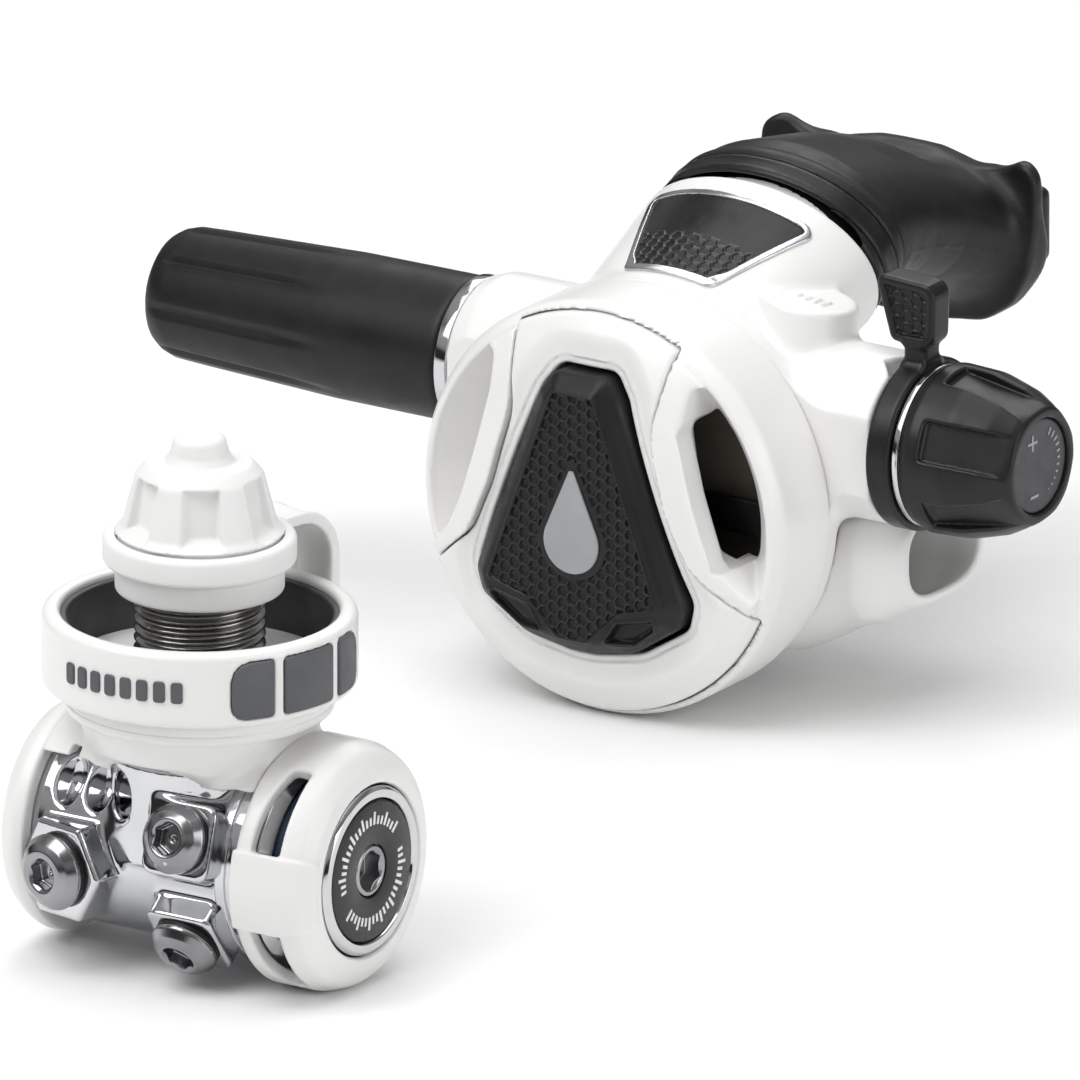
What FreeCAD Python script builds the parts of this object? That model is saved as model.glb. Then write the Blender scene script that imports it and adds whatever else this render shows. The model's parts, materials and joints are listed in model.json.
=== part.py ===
import FreeCAD, Part

import math
import os

# Scuba regulator set: a DIN first stage and a second stage, both standing on one plane.
# Millimetres, +Z up, +X along both long axes (second stage: inlet at -X, knob at +X),
# -Y is the front (purge button side). The origin is the bottom centre of the whole set.

Vector = FreeCAD.Vector
X_AXIS = Vector(1, 0, 0)
Y_AXIS = Vector(0, 1, 0)
Z_AXIS = Vector(0, 0, 1)
RUN = 0.05            # radial running clearance of shafts and screws
GAP = 0.3             # gap between free faces that move past each other

# ---- where the stages stand ----
FIRST_HEIGHT = 21.3   # first stage: body axis above the floor
SECOND_X = -14.2      # second stage: ring centre from the first stage's thread axis
SECOND_Y = 148.4
SECOND_HEIGHT = 37.1

# ---- first stage, from the point where the thread axis meets the body axis ----
BODY_BACK = 2.0       # the body axis lies this far behind the thread axis
BODY_R = 18.0
BODY_LEFT = -24.3
SEAM_X = 14.0         # body to diaphragm chamber
CHAMBER_R = 19.2
CHAMBER_END = 31.0
MAIN_BORE_R = 6.0
SPRING_ROOM_R = 10.2
END_X = 33.9          # front face of the label disc
END_RING_R = 14.9
LABEL_R = 12.4
ADJUSTER_R = 4.6
HEX_SOCKET = 2.9      # socket corner radius of the small plugs
BUMPER_R = 22.0
BUMPER_INNER_R = 19.7
RIGHT_BUMPER_X = 19.3
LEFT_BUMPER_END = -31.5
PORT_X = 7.6
PORT_UP = 18.0        # degrees above the horizontal, front and back
PORT_DOWN = -36.0
PORT_FACE_R = 21.6    # boss faces, from the body axis
PORT_R = 4.7
PORT_HEAD_R = 6.1
HP_X = -12.2
HP_Z = -3.2
HP_TURN = 12.0        # degrees that the high-pressure port leans towards -X
HP_FACE_R = 21.6
HP_HEX_R = 9.6
HP_HEAD_R = 6.7
NECK_R = 12.5
NECK_TOP = 24.3
COLLAR_R = 23.2
COLLAR_TOP = 28.4
WHEEL_BOTTOM = 28.7
WHEEL_TOP = 42.3
WHEEL_R = 27.2
WHEEL_INNER_R = 24.0
LINER_R = 22.9
PAD_ANGLE = -12.5     # degrees from +X towards +Y, middle of a group of three pads
PAD_STEP = 24.5
PAD_HALF = 12.3       # half the angle of the middle pad
PAD_SIDE_HALF = 8.4
PAD_MARGIN = 1.8      # wheel rim above and below a pad
PAD_PROUD = 0.5
THREAD_R = 11.455     # G5/8 thread, major radius
COUPLING_TOP = 52.6
STEM_R = 7.0
STEM_HEAD_R = 9.2
STEM_TOP = 55.2
CAP_BORE_R = 11.8
CAP_SKIRT_Z = 45.7
CAP_SKIRT_R = 14.6
RING_LOW = 50.6
RING_TOP = 55.6
RING_R = 16.7
CAP_SHOULDER_Z = 68.7
CAP_TOP = 73.5
TETHER_ANGLE = 80.0   # degrees from +X towards +Y, where the strap leaves the cap
TETHER_REACH = 28.9   # centre of the strap's hanging part, from the thread axis
TETHER_WIDTH = 10.0
TETHER_THICK = 2.2

# ---- second stage, from the centre of the cover ring's front plane ----
RING_OUTER_R = 37.1
RING_INNER_R = 34.2
RING_DEPTH = 15.2
PLATE_R = 35.8
PLATE_SEAM_Y = -1.8
PLATE_CROWN_Y = -9.6
FLOOR_Y = 1.8
FLOOR_BACK_Y = 4.0
BUTTON_FRONT_Y = -9.6
BUTTON_FLANGE_Y = 4.6
BUTTON_BACK_Y = 6.2
BUTTON_GAP = 0.6
SPIDER_Y = 9.6        # cross-bar that guides the button's pin
SPIDER_BACK_Y = 11.0
BARREL_Y = 28.5
BARREL_Z = 12.9
BARREL_R = 15.0
BARREL_LEFT = -42.0
BARREL_RIGHT = 45.0
AIR_TUBE_R = 9.4
AIR_TUBE_BORE = 6.0
VANE_R = 10.9
ORIFICE_END = -30.0   # inner end of the valve orifice
LEVER_PIVOT_X = 17.0
LEVER_PIVOT_Y = 17.4
LEVER_Y = 15.4
SPRING_START = 20.0
SPRING_LENGTH = 10.0
MOUTH_Y = 51.3        # centre of the mouth collar
MOUTH_Z = 32.05
MOUTH_TILT = 22.0     # degrees that the collar's axis rises
MOUTH_A = 23.9        # collar half width and half height
MOUTH_B = 17.2
LEVER_X = 45.3
LEVER_END_X = 49.9
LEVER_R = 15.3
PADDLE_Y = 25.0       # front face of the lever's paddle
PADDLE_Z = 31.4
PADDLE_TOP = 43.2
KNOB_RING_X = 50.2
KNOB_X = 51.4
KNOB_END_X = 72.0
KNOB_R = 15.0
KNOB_TIP_R = 10.6
KNOB_FLUTES = 6
KNOB_PHASE = 8.0      # degrees, first flute from +Z
INLET_NUT_X = -44.6
SLEEVE_X = -44.9
SLEEVE_END_X = -107.0
SLEEVE_R = 13.0
SLEEVE_TIP_R = 11.6
SLEEVE_BORE_R = 8.7
SLEEVE_EYE_R = 5.8    # hose passage in the sleeve's far end
TEE_END_X = 45.0      # outlets of the exhaust tee
VALVE_TILT = 45.0     # degrees that the exhaust valve's axis points below the horizontal


# ---- helpers ----
def tube(axis, start, end, r_out, r_in=0.0, centre=(0.0, 0.0)):
    """A tube or rod along a main axis; centre holds the other two coordinates in XYZ order."""
    a, b = centre
    base = {"x": Vector(start, a, b), "y": Vector(a, start, b), "z": Vector(a, b, start)}[axis]
    along = {"x": X_AXIS, "y": Y_AXIS, "z": Z_AXIS}[axis]
    solid = Part.makeCylinder(r_out, end - start, base, along)
    if r_in > 0:
        solid = solid.cut(Part.makeCylinder(r_in, end - start, base, along))
    return solid


def turned(axis, profile, centre=(0.0, 0.0)):
    """A turned solid from (along, radius) corners round a main axis."""
    a, b = centre
    place = {
        "x": lambda s, r: Vector(s, a, b + r),
        "y": lambda s, r: Vector(a, s, b + r),
        "z": lambda s, r: Vector(a + r, b, s),
    }[axis]
    base = {"x": Vector(0, a, b), "y": Vector(a, 0, b), "z": Vector(a, b, 0)}[axis]
    along = {"x": X_AXIS, "y": Y_AXIS, "z": Z_AXIS}[axis]
    corners = [place(s, r) for s, r in profile]
    face = Part.Face(Part.makePolygon(corners + corners[:1]))
    return face.revolve(base, along, 360)


def box(x0, x1, y0, y1, z0, z1):
    return Part.makeBox(x1 - x0, y1 - y0, z1 - z0, Vector(x0, y0, z0))


def prism_y(corners, y0, y1):
    """A straight prism along Y from (x, z) corners."""
    points = [Vector(x, y0, z) for x, z in corners]
    face = Part.Face(Part.makePolygon(points + points[:1]))
    return face.extrude(Vector(0, y1 - y0, 0))


def hexagon(radius, height):
    """A hexagonal prism along +Z from the origin, by its corner radius."""
    points = [
        Vector(radius * math.cos(math.radians(60 * i)), radius * math.sin(math.radians(60 * i)), 0)
        for i in range(6)
    ]
    return Part.Face(Part.makePolygon(points + points[:1])).extrude(Vector(0, 0, height))


def coil(radius, wire_r, length, turns):
    """A compression spring along +Z from the origin."""
    pitch = (length - 2 * wire_r) / turns
    helix = Part.makeHelix(pitch, pitch * turns, radius)
    helix.translate(Vector(0, 0, wire_r))
    start = Part.Wire(Part.makeCircle(wire_r, Vector(radius, 0, wire_r), Vector(0, 1, 0)))
    return Part.Wire(helix).makePipeShell([start], True, True)


def aim(solid, direction, base):
    """Turn a solid built along +Z towards a direction and move it to its base."""
    turn = FreeCAD.Rotation(Z_AXIS, direction)
    solid = solid.copy()
    solid.Placement = FreeCAD.Placement(base, turn).multiply(solid.Placement)
    return solid


def fused(solids):
    return solids[0].multiFuse(solids[1:]).removeSplitter()


def group(solids):
    """Separate solids that share one node."""
    return Part.makeCompound(solids)


def ellipse_wire(centre, half_x, half_up, tilt):
    """An ellipse, half_x wide along X, in a plane whose normal rises by tilt from +Y."""
    t = math.radians(tilt)
    up = Vector(0, -math.sin(t), math.cos(t))
    normal = Vector(0, math.cos(t), math.sin(t))
    if half_x >= half_up:
        curve = Part.Ellipse(centre + X_AXIS * half_x, centre + up * half_up, centre)
    else:
        curve = Part.Ellipse(centre + up * half_up, centre + X_AXIS * half_x, centre)
    wire = Part.Wire(curve.toShape())
    assert abs(wire.Edges[0].Curve.Axis.dot(normal)) > 0.999
    return wire


def loft(wires):
    return Part.makeLoft(wires, True, False)


# ---- first stage ----
BODY = (BODY_BACK, 0.0)   # centre of everything on the first stage's body axis


def port_frames():
    """Face centre and outward direction of the four low-pressure ports."""
    frames = []
    for side in (-1, 1):
        for lift in (PORT_UP, PORT_DOWN):
            angle = math.radians(lift)
            out = Vector(0, side * math.cos(angle), math.sin(angle))
            frames.append((Vector(PORT_X, BODY_BACK, 0) + out * PORT_FACE_R, out))
    return frames


def hp_frames():
    """Face centre and outward direction of the two high-pressure ports."""
    frames = []
    for side in (-1, 1):
        angle = math.radians(HP_TURN)
        out = Vector(-math.sin(angle), side * math.cos(angle), 0)
        frames.append((Vector(HP_X, BODY_BACK, HP_Z) + out * HP_FACE_R, out))
    return frames


def neck_shape(grow):
    """Flared neck of the body, widened by grow for the shroud's inside."""
    foot = NECK_R + 4 + grow
    top = NECK_R + grow
    end = NECK_TOP + grow
    return turned("z", [(0, 0), (0, foot), (17, foot), (21, top), (end, top), (end, 0)])


def first_stage_body():
    blocks = [tube("x", BODY_LEFT, SEAM_X, BODY_R, centre=BODY), neck_shape(0)]
    for face, out in port_frames():
        boss = box(-6.7, 6.7, -6.7, 6.7, 0, PORT_FACE_R - 6)
        blocks.append(aim(boss, out, face - out * (PORT_FACE_R - 6)))
    for face, out in hp_frames():
        blocks.append(aim(hexagon(HP_HEX_R, HP_FACE_R - 6), out, face - out * (HP_FACE_R - 6)))
    body = fused(blocks)
    body = body.common(box(BODY_LEFT, SEAM_X, -40, 44, -BODY_R, NECK_TOP))
    cuts = [
        tube("x", BODY_LEFT - 1, -12, 8.0, centre=BODY),
        tube("x", -13, SEAM_X + 1, MAIN_BORE_R, centre=BODY),
        tube("z", 3, NECK_TOP + 1, STEM_R),
    ]
    for face, out in port_frames() + hp_frames():
        cuts.append(Part.makeCylinder(PORT_R, 10, face + out, out * -1))
    for x in (-18.5, -12.2, -5.9):
        angle = math.radians(36)
        centre = Vector(x, BODY_BACK - (BODY_R + 4.3) * math.cos(angle), (BODY_R + 4.3) * math.sin(angle))
        cuts.append(Part.makeSphere(5.6, centre))
    return body.cut(cuts[0].multiFuse(cuts[1:]))


def diaphragm_chamber():
    profile = [
        (SEAM_X, 0), (SEAM_X, CHAMBER_R), (RIGHT_BUMPER_X + 3, CHAMBER_R), (RIGHT_BUMPER_X + 5, 16.2),
        (CHAMBER_END, 16.2), (CHAMBER_END, 0),
    ]
    chamber = turned("x", profile, BODY)
    chamber = chamber.cut(tube("x", SEAM_X - 1, SEAM_X + 1.4, 16.9, centre=BODY))
    return chamber.cut(tube("x", SEAM_X, CHAMBER_END + 1, SPRING_ROOM_R, centre=BODY))


def main_diaphragm():
    return tube("x", SEAM_X, SEAM_X + 1.4, 16.8, centre=BODY)


def spring_carrier():
    cup = tube("x", SEAM_X + 1.4, SEAM_X + 3.4, 9.4, centre=BODY)
    return cup.fuse(tube("x", SEAM_X + 3.4, SEAM_X + 6.4, 4.6, centre=BODY)).removeSplitter()


def main_spring():
    spring = coil(7.6, 1.1, CHAMBER_END - SEAM_X - 5.2, 4.5)
    return aim(spring, X_AXIS, Vector(SEAM_X + 3.6, BODY_BACK, 0))


def spring_end_cap():
    """Chrome cap that closes the chamber, with the rim that frames the label disc."""
    cap = turned("x", [
        (CHAMBER_END - 1.2, 4.7), (CHAMBER_END - 1.2, 10.1), (CHAMBER_END, 10.1), (CHAMBER_END, 13.6),
        (CHAMBER_END + 1.3, END_RING_R), (END_X - 0.4, END_RING_R), (END_X + 0.2, END_RING_R - 0.6),
        (END_X + 0.2, LABEL_R + 0.5), (END_X - 0.8, LABEL_R + 0.05), (END_X - 0.8, 4.7),
    ], BODY)
    return cap


def label_disc():
    return tube("x", END_X - 0.8, END_X, LABEL_R, ADJUSTER_R + 0.15, BODY)


def ip_adjuster():
    """Intermediate-pressure adjusting screw with a hexagon socket."""
    screw = tube("x", CHAMBER_END - 3.4, END_X - 0.1, ADJUSTER_R, centre=BODY)
    socket = aim(hexagon(3.6, 4.0), X_AXIS, Vector(END_X - 3.6, BODY_BACK, 0))
    return screw.cut(socket)


def valve_seat():
    return tube("x", 4.0, 6.5, MAIN_BORE_R - RUN, 2.4, BODY)


def main_poppet():
    """High-pressure poppet with its lifter pin reaching the diaphragm."""
    head = tube("x", -3.5, 1.7, 4.2, centre=BODY)
    stem = tube("x", -9.0, -3.5, 2.0, centre=BODY)
    pin = tube("x", 1.7, SEAM_X - 2.2, 1.3, centre=BODY)
    return fused([head, stem, pin])


def seat_spring():
    return aim(coil(3.4, 0.6, 5.3, 2.5), X_AXIS, Vector(-9.0, BODY_BACK, 0))


def balance_plug():
    """Plug that closes the body's left end and guides the poppet stem."""
    plug = fused([
        tube("x", -28.6, BODY_LEFT, 14.5, centre=BODY),
        tube("x", BODY_LEFT, -13.4, 7.95, centre=BODY),
        tube("x", -13.4, -9.2, 5.6, centre=BODY),
    ])
    return plug.cut(tube("x", -17, -8, 2.0 + RUN, centre=BODY))


def left_bumper():
    bumper = turned("x", [
        (BODY_LEFT, BODY_R + 0.1), (BODY_LEFT, 20.3), (-26.5, 20.9), (-29.3, 19.6), (LEFT_BUMPER_END, 15.5),
        (LEFT_BUMPER_END, 0), (-28.8, 0), (-28.8, 14.7), (-24.6, 16.2),
    ], BODY)
    return foot_flat(bumper)


def foot_flat(solid):
    """The lowest stretch of a bumper is ground flat, where the stage stands."""
    return solid.cut(box(-60, 60, -40, 44, -60, -FIRST_HEIGHT))


def right_bumper():
    shell = turned("x", [
        (RIGHT_BUMPER_X, BUMPER_INNER_R), (RIGHT_BUMPER_X, 21.2), (20.0, BUMPER_R), (28.6, BUMPER_R),
        (31.6, 20.4), (33.4, 17.6), (33.8, 15.4), (32.6, 15.15), (29.6, 17.4), (26.5, BUMPER_INNER_R),
    ], BODY)
    slot = [(22.3, 17.0), (28.4, 17.0), (28.4, 26.0), (22.3, 26.0)]
    shell = shell.cut(turned_sector(slot, 27, 44)).cut(turned_sector(slot, 108, 42))
    tab = turned_sector([
        (19.3, 20.5), (19.3, 22.8), (28.8, 22.9), (32.3, 21.1), (33.9, 18.0), (33.9, 16.6), (32.6, 16.6), (28.0, 20.5),
    ], 71, 37)
    shell = shell.fuse(tab).removeSplitter()
    return foot_flat(shell)


def turned_sector(profile, start, sweep):
    """A profile of (x, radius) corners turned round the body axis; angles run from the top over the front."""
    corners = [Vector(x, BODY_BACK, r) for x, r in profile]
    face = Part.Face(Part.makePolygon(corners + corners[:1]))
    face.rotate(Vector(0, BODY_BACK, 0), X_AXIS, start)
    return face.revolve(Vector(0, BODY_BACK, 0), X_AXIS, sweep)


def top_shroud():
    """White saddle over the body, with the round shoulder under the handwheel."""
    saddle = tube("x", BODY_LEFT + 0.1, RIGHT_BUMPER_X - 0.1, 21.6, CHAMBER_R + 0.1, BODY)
    saddle = saddle.common(box(-40, 40, -40, 44, 15.4, 30))
    shoulder = turned("z", [(14.6, 20.6), (NECK_TOP - 0.1, 21.6), (NECK_TOP - 0.1, 10), (14.6, 10)])
    shoulder = shoulder.cut(tube("x", -40, 40, CHAMBER_R + 0.1, centre=BODY))
    shoulder = shoulder.common(box(-40, RIGHT_BUMPER_X - 0.1, -40, 44, 15.4, 30))
    shroud = saddle.fuse(shoulder).removeSplitter()
    return biggest(shroud.cut(neck_shape(0.1)))


def neck_collar():
    return turned("z", [
        (NECK_TOP, 7.3), (NECK_TOP, 22.6), (NECK_TOP + 0.8, COLLAR_R), (COLLAR_TOP - 0.8, COLLAR_R),
        (COLLAR_TOP, 22.6), (COLLAR_TOP, 7.3),
    ])


def port_plug(head_r, shank_r, socket_r):
    """A domed plug along +Z, its seat face at the origin."""
    plug = turned("z", [
        (-6, 0), (-6, shank_r), (0.9, shank_r), (0.9, head_r), (2.0, head_r), (3.4, head_r - 1.3),
        (4.0, head_r - 2.6), (4.0, 0),
    ])
    socket = hexagon(socket_r, 4.0)
    socket.translate(Vector(0, 0, 1.4))
    return plug.cut(socket)


def lp_port_plugs():
    plug = port_plug(PORT_HEAD_R, PORT_R - RUN, HEX_SOCKET)
    return group([aim(plug.copy(), out, face) for face, out in port_frames()])


def gauge_port_plugs():
    plug = port_plug(HP_HEAD_R, PORT_R - RUN, HEX_SOCKET)
    return group([aim(plug.copy(), out, face) for face, out in hp_frames()])


def port_washers():
    washers = []
    for face, out in port_frames():
        washer = Part.makeCylinder(PORT_HEAD_R - 0.1, 0.9).cut(Part.makeCylinder(PORT_R, 0.9))
        washers.append(aim(washer, out, face))
    for face, out in hp_frames():
        washer = Part.makeCylinder(HP_HEAD_R - 0.1, 0.9).cut(Part.makeCylinder(PORT_R, 0.9))
        washers.append(aim(washer, out, face))
    return group(washers)


def din_stem():
    """Hollow retaining bolt that carries the handwheel and seals against the cylinder valve."""
    stem = turned("z", [
        (6, 0), (6, STEM_R - RUN), (COUPLING_TOP + 0.3, STEM_R - RUN), (COUPLING_TOP + 0.3, STEM_HEAD_R),
        (STEM_TOP, STEM_HEAD_R), (STEM_TOP, 0),
    ])
    stem = stem.cut(tube("z", 5, 46, 3.2))
    stem = stem.cut(tube("z", 44, STEM_TOP + 1, 4.6))
    groove = tube("z", STEM_TOP - 1.2, STEM_TOP + 1, 8.3, 6.0)
    return stem.cut(groove)


def din_oring():
    return Part.makeTorus(7.15, 0.95, Vector(0, 0, STEM_TOP - 0.25))


def din_filter():
    return turned("z", [(46.2, 0), (46.2, 3.6), (STEM_TOP - 1.4, 4.5), (STEM_TOP - 0.6, 4.5), (STEM_TOP - 0.6, 0)])


def din_coupling():
    """Threaded coupling; its thread is a row of grooves at the real pitch."""
    pitch = 25.4 / 14
    depth = 0.9
    profile = [(COLLAR_TOP + 0.3, STEM_R + RUN), (COLLAR_TOP + 0.3, 14.5), (WHEEL_BOTTOM + 3.3, 14.5)]
    profile.append((WHEEL_BOTTOM + 3.3, THREAD_R - depth))
    z = WHEEL_BOTTOM + 4.2
    while z + pitch < COUPLING_TOP:
        profile.append((z, THREAD_R - depth))
        profile.append((z + pitch * 0.42, THREAD_R))
        profile.append((z + pitch * 0.58, THREAD_R))
        z += pitch
    profile.append((z, THREAD_R - depth))
    profile.append((COUPLING_TOP, THREAD_R - depth))
    profile.append((COUPLING_TOP, STEM_R + RUN))
    return turned("z", profile)


def handwheel():
    """Gripping ring with a web that sits on the coupling's flange."""
    wheel = turned("z", [
        (WHEEL_BOTTOM, 14.6), (WHEEL_BOTTOM, 26.0), (WHEEL_BOTTOM + 1.2, WHEEL_R), (WHEEL_TOP - 1.6, WHEEL_R),
        (WHEEL_TOP, 26.0), (WHEEL_TOP, WHEEL_INNER_R + 0.4), (WHEEL_TOP - 0.8, WHEEL_INNER_R),
        (WHEEL_BOTTOM + 3.0, WHEEL_INNER_R), (WHEEL_BOTTOM + 3.0, 14.6),
    ])
    pockets = pad_ring(0.05)
    return wheel.cut(pockets[0].multiFuse(pockets[1:]))


def pad_ring(spare):
    """Grip pads let into the ring, in groups of three; spare widens them for their pockets."""
    pads = []
    low = WHEEL_BOTTOM + PAD_MARGIN - spare
    high = WHEEL_TOP - PAD_MARGIN + spare
    for group_angle in (PAD_ANGLE, PAD_ANGLE + 180):
        for offset, half in ((-PAD_STEP, PAD_SIDE_HALF), (0, PAD_HALF), (PAD_STEP, PAD_SIDE_HALF)):
            corners = [
                Vector(r, 0, z)
                for r, z in (
                    (WHEEL_R - 1.0 - spare, low), (WHEEL_R + PAD_PROUD, low),
                    (WHEEL_R + PAD_PROUD, high), (WHEEL_R - 1.0 - spare, high),
                )
            ]
            face = Part.Face(Part.makePolygon(corners + corners[:1]))
            reach = half + math.degrees(spare / WHEEL_R)
            face.rotate(Vector(0, 0, 0), Z_AXIS, group_angle + offset - reach)
            pads.append(face.revolve(Vector(0, 0, 0), Z_AXIS, 2 * reach))
    return pads


def handwheel_pads():
    return group(pad_ring(0.0))


def handwheel_liner():
    return tube("z", WHEEL_BOTTOM + 3.0, WHEEL_TOP - 1.2, WHEEL_INNER_R, LINER_R)


def cap_tether_ring():
    """Soft ring round the dust cap that the tether strap grows from."""
    return turned("z", [
        (RING_LOW, CAP_SKIRT_R - 0.4 + GAP), (RING_LOW, 15.8), (RING_LOW + 1.6, RING_R), (RING_TOP - 1.6, RING_R),
        (RING_TOP, 15.4), (RING_TOP, CAP_SKIRT_R - 0.4 + GAP),
    ])


def dust_cap():
    cap = turned("z", [
        (CAP_SKIRT_Z, CAP_BORE_R), (CAP_SKIRT_Z, CAP_SKIRT_R), (RING_LOW - GAP, CAP_SKIRT_R),
        (RING_LOW - GAP, CAP_SKIRT_R - 0.4), (RING_TOP + GAP, CAP_SKIRT_R - 0.4), (RING_TOP + GAP, 14.9),
        (57.5, 13.3), (60.5, 12.5), (CAP_SHOULDER_Z - 2.2, 11.0), (CAP_SHOULDER_Z, 8.6), (CAP_SHOULDER_Z, 6.4),
        (CAP_SHOULDER_Z + 1.4, 5.2), (CAP_TOP - 0.9, 4.4), (CAP_TOP, 3.4), (CAP_TOP, 0),
        (STEM_TOP + 1.6, 0), (STEM_TOP + 1.6, CAP_BORE_R),
    ])
    flutes = []
    for i in range(6):
        flute = box(9.9, 20, -3.4, 3.4, RING_TOP + 2.6, CAP_SHOULDER_Z - 3.0)
        flute.rotate(Vector(0, 0, 0), Z_AXIS, 60 * i - 55)
        flutes.append(flute)
    return cap.cut(flutes[0].multiFuse(flutes[1:]))


def cap_tether():
    """Strap that arches from the cap's ring down behind the handwheel to the collar."""
    low = NECK_TOP + 0.2
    top = RING_TOP - 0.4
    bend = 7.0
    inner = TETHER_REACH - TETHER_THICK / 2
    outer = TETHER_REACH + TETHER_THICK / 2
    root = RING_R + 0.2
    points = [Vector(root, 0, top), Vector(outer - bend, 0, top)]
    arch = Part.Arc(points[1], Vector(outer - bend * 0.293, 0, top - bend * 0.293), Vector(outer, 0, top - bend))
    inner_bend = bend - TETHER_THICK
    under = top - TETHER_THICK
    inner_arch = Part.Arc(
        Vector(inner, 0, under - inner_bend),
        Vector(inner - inner_bend * 0.293, 0, under - inner_bend * 0.293),
        Vector(inner - inner_bend, 0, under),
    )
    edges = [
        Part.makeLine(points[0], points[1]),
        arch.toShape(),
        Part.makeLine(Vector(outer, 0, top - bend), Vector(outer, 0, low)),
        Part.makeLine(Vector(outer, 0, low), Vector(COLLAR_R + 0.1, 0, low)),
        Part.makeLine(Vector(COLLAR_R + 0.1, 0, low), Vector(COLLAR_R + 0.1, 0, low + 2.2)),
        Part.makeLine(Vector(COLLAR_R + 0.1, 0, low + 2.2), Vector(inner, 0, low + 2.2)),
        Part.makeLine(Vector(inner, 0, low + 2.2), Vector(inner, 0, under - inner_bend)),
        inner_arch.toShape(),
        Part.makeLine(Vector(inner - inner_bend, 0, under), Vector(root, 0, under)),
        Part.makeLine(Vector(root, 0, under), points[0]),
    ]
    face = Part.Face(Part.Wire(edges))
    strap = face.extrude(Vector(0, TETHER_WIDTH, 0))
    strap.translate(Vector(0, -TETHER_WIDTH / 2, 0))
    strap.rotate(Vector(0, 0, 0), Z_AXIS, TETHER_ANGLE)
    strap = strap.cut(tube("z", 0, 80, RING_R + 0.1))
    return strap.cut(tube("z", 0, COLLAR_TOP + 0.2, COLLAR_R + 0.05))


# ---- second stage ----
BARREL = (BARREL_Y, BARREL_Z)   # centre of everything on the second stage's barrel


def button_outline(grow):
    """Rounded-triangle outline of the purge button, widened by grow."""
    g = grow
    return [
        (-5.2 - g, 26.4 + g), (5.2 + g, 26.4 + g), (8.2 + 1.1 * g, 22.6), (21.4 + 1.05 * g, -12.0),
        (20.0 + g, -16.6 - g), (11.0 + 0.5 * g, -22.4 - g), (0, -24.0 - g),
        (-11.0 - 0.5 * g, -22.4 - g), (-20.0 - g, -16.6 - g), (-21.4 - 1.05 * g, -12.0), (-8.2 - 1.1 * g, 22.6),
    ]


def plate_outline(side):
    """One side of the cover plate's waisted outline, from the top to the bottom."""
    return [(side * x, z) for x, z in ((16.3, 31.5), (14.3, 17.5), (18.2, 3.7), (22.7, -5.9), (32.5, -13.9))]


def plate_blank(grow):
    """The cover plate's waisted outline as a flat block, wider by grow at the sides."""
    right = [(16.3, 40)] + plate_outline(1) + [(36.5, -16), (36.5, -40)]
    right = [(x + grow, z) for x, z in right]
    left = [(-x, z) for x, z in right[::-1]]
    return prism_y(right + left, -12, FLOOR_Y)


def cover_plate():
    plate = plate_blank(0)
    sag = PLATE_SEAM_Y - PLATE_CROWN_Y
    dome_r = (PLATE_R ** 2 + sag ** 2) / (2 * sag)
    plate = plate.common(Part.makeSphere(dome_r, Vector(0, PLATE_CROWN_Y + dome_r, 0)))
    plate = plate.common(tube("y", -12, 10, PLATE_R))
    return plate.cut(prism_y(button_outline(BUTTON_GAP), -12, 10))


def window():
    """Through slot beside the cover plate: one straight and one bowed edge."""
    top = Vector(19.6, 0, 20.6)
    low = Vector(27.4, 0, -6.1)
    bow = Part.Arc(top, Vector(29.0, 0, 7.0), low).toShape()
    inner_low = Vector(25.4, 0, -4.5)
    inner_top = Vector(18.9, 0, 18.7)
    edges = [bow]
    for a, b in ((low, inner_low), (inner_low, inner_top), (inner_top, top)):
        edges.append(Part.makeLine(a, b))
    return Part.Face(Part.Wire(edges)).extrude(Vector(0, 8, 0))


def cover_ring():
    ring = turned("y", [
        (PLATE_SEAM_Y, RING_INNER_R), (PLATE_SEAM_Y, PLATE_R + 0.1), (0.6, RING_OUTER_R),
        (RING_DEPTH, RING_OUTER_R), (RING_DEPTH, RING_INNER_R), (FLOOR_BACK_Y, RING_INNER_R),
        (FLOOR_BACK_Y, 0), (FLOOR_Y, 0), (FLOOR_Y, RING_INNER_R),
    ])
    ring = ring.cut(plate_blank(0.05).common(tube("y", -12, 10, PLATE_R + 0.05)))
    ring = ring.cut(prism_y(button_outline(BUTTON_GAP), -12, 10))
    ring = ring.cut(window())
    spider = box(-RING_INNER_R + 0.6, RING_INNER_R - 0.6, SPIDER_Y, SPIDER_BACK_Y, -3.2, 3.2)
    legs = [box(s * 33.9 - 1.3, s * 33.9 + 1.3, FLOOR_BACK_Y, SPIDER_BACK_Y, -3.2, 3.2) for s in (-1, 1)]
    spider = fused([spider] + legs).common(tube("y", 0, 20, RING_INNER_R + 0.5))
    spider = spider.cut(tube("y", 0, 20, 2.6 + RUN))
    return ring.fuse(spider).removeSplitter()


def purge_button():
    """Rubber-faced button with a retaining flange and the pin that pushes the diaphragm."""
    face = prism_y(button_outline(0), BUTTON_FRONT_Y, BUTTON_BACK_Y)
    flange = prism_y(button_outline(2.0), BUTTON_FLANGE_Y, BUTTON_BACK_Y)
    pin = tube("y", BUTTON_BACK_Y, 11.9, 2.6)
    return fused([face, flange, pin])


def purge_emblem():
    """Plain water-drop badge on the button's face."""
    r = 5.6
    low = Vector(0, 0, -3.4)
    tip = Vector(0, 0, 9.6)
    lean = math.asin(r / (tip.z - low.z))
    right = low + Vector(r * math.cos(lean), 0, r * math.sin(lean))
    left = low + Vector(-r * math.cos(lean), 0, r * math.sin(lean))
    bowl = Part.Arc(right, low - Vector(0, 0, r), left).toShape()
    drop = Part.Face(Part.Wire([bowl, Part.makeLine(left, tip), Part.makeLine(tip, right)]))
    drop = drop.extrude(Vector(0, 0.5, 0))
    drop.translate(Vector(0, BUTTON_FRONT_Y - 0.5, 0))
    return drop


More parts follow.
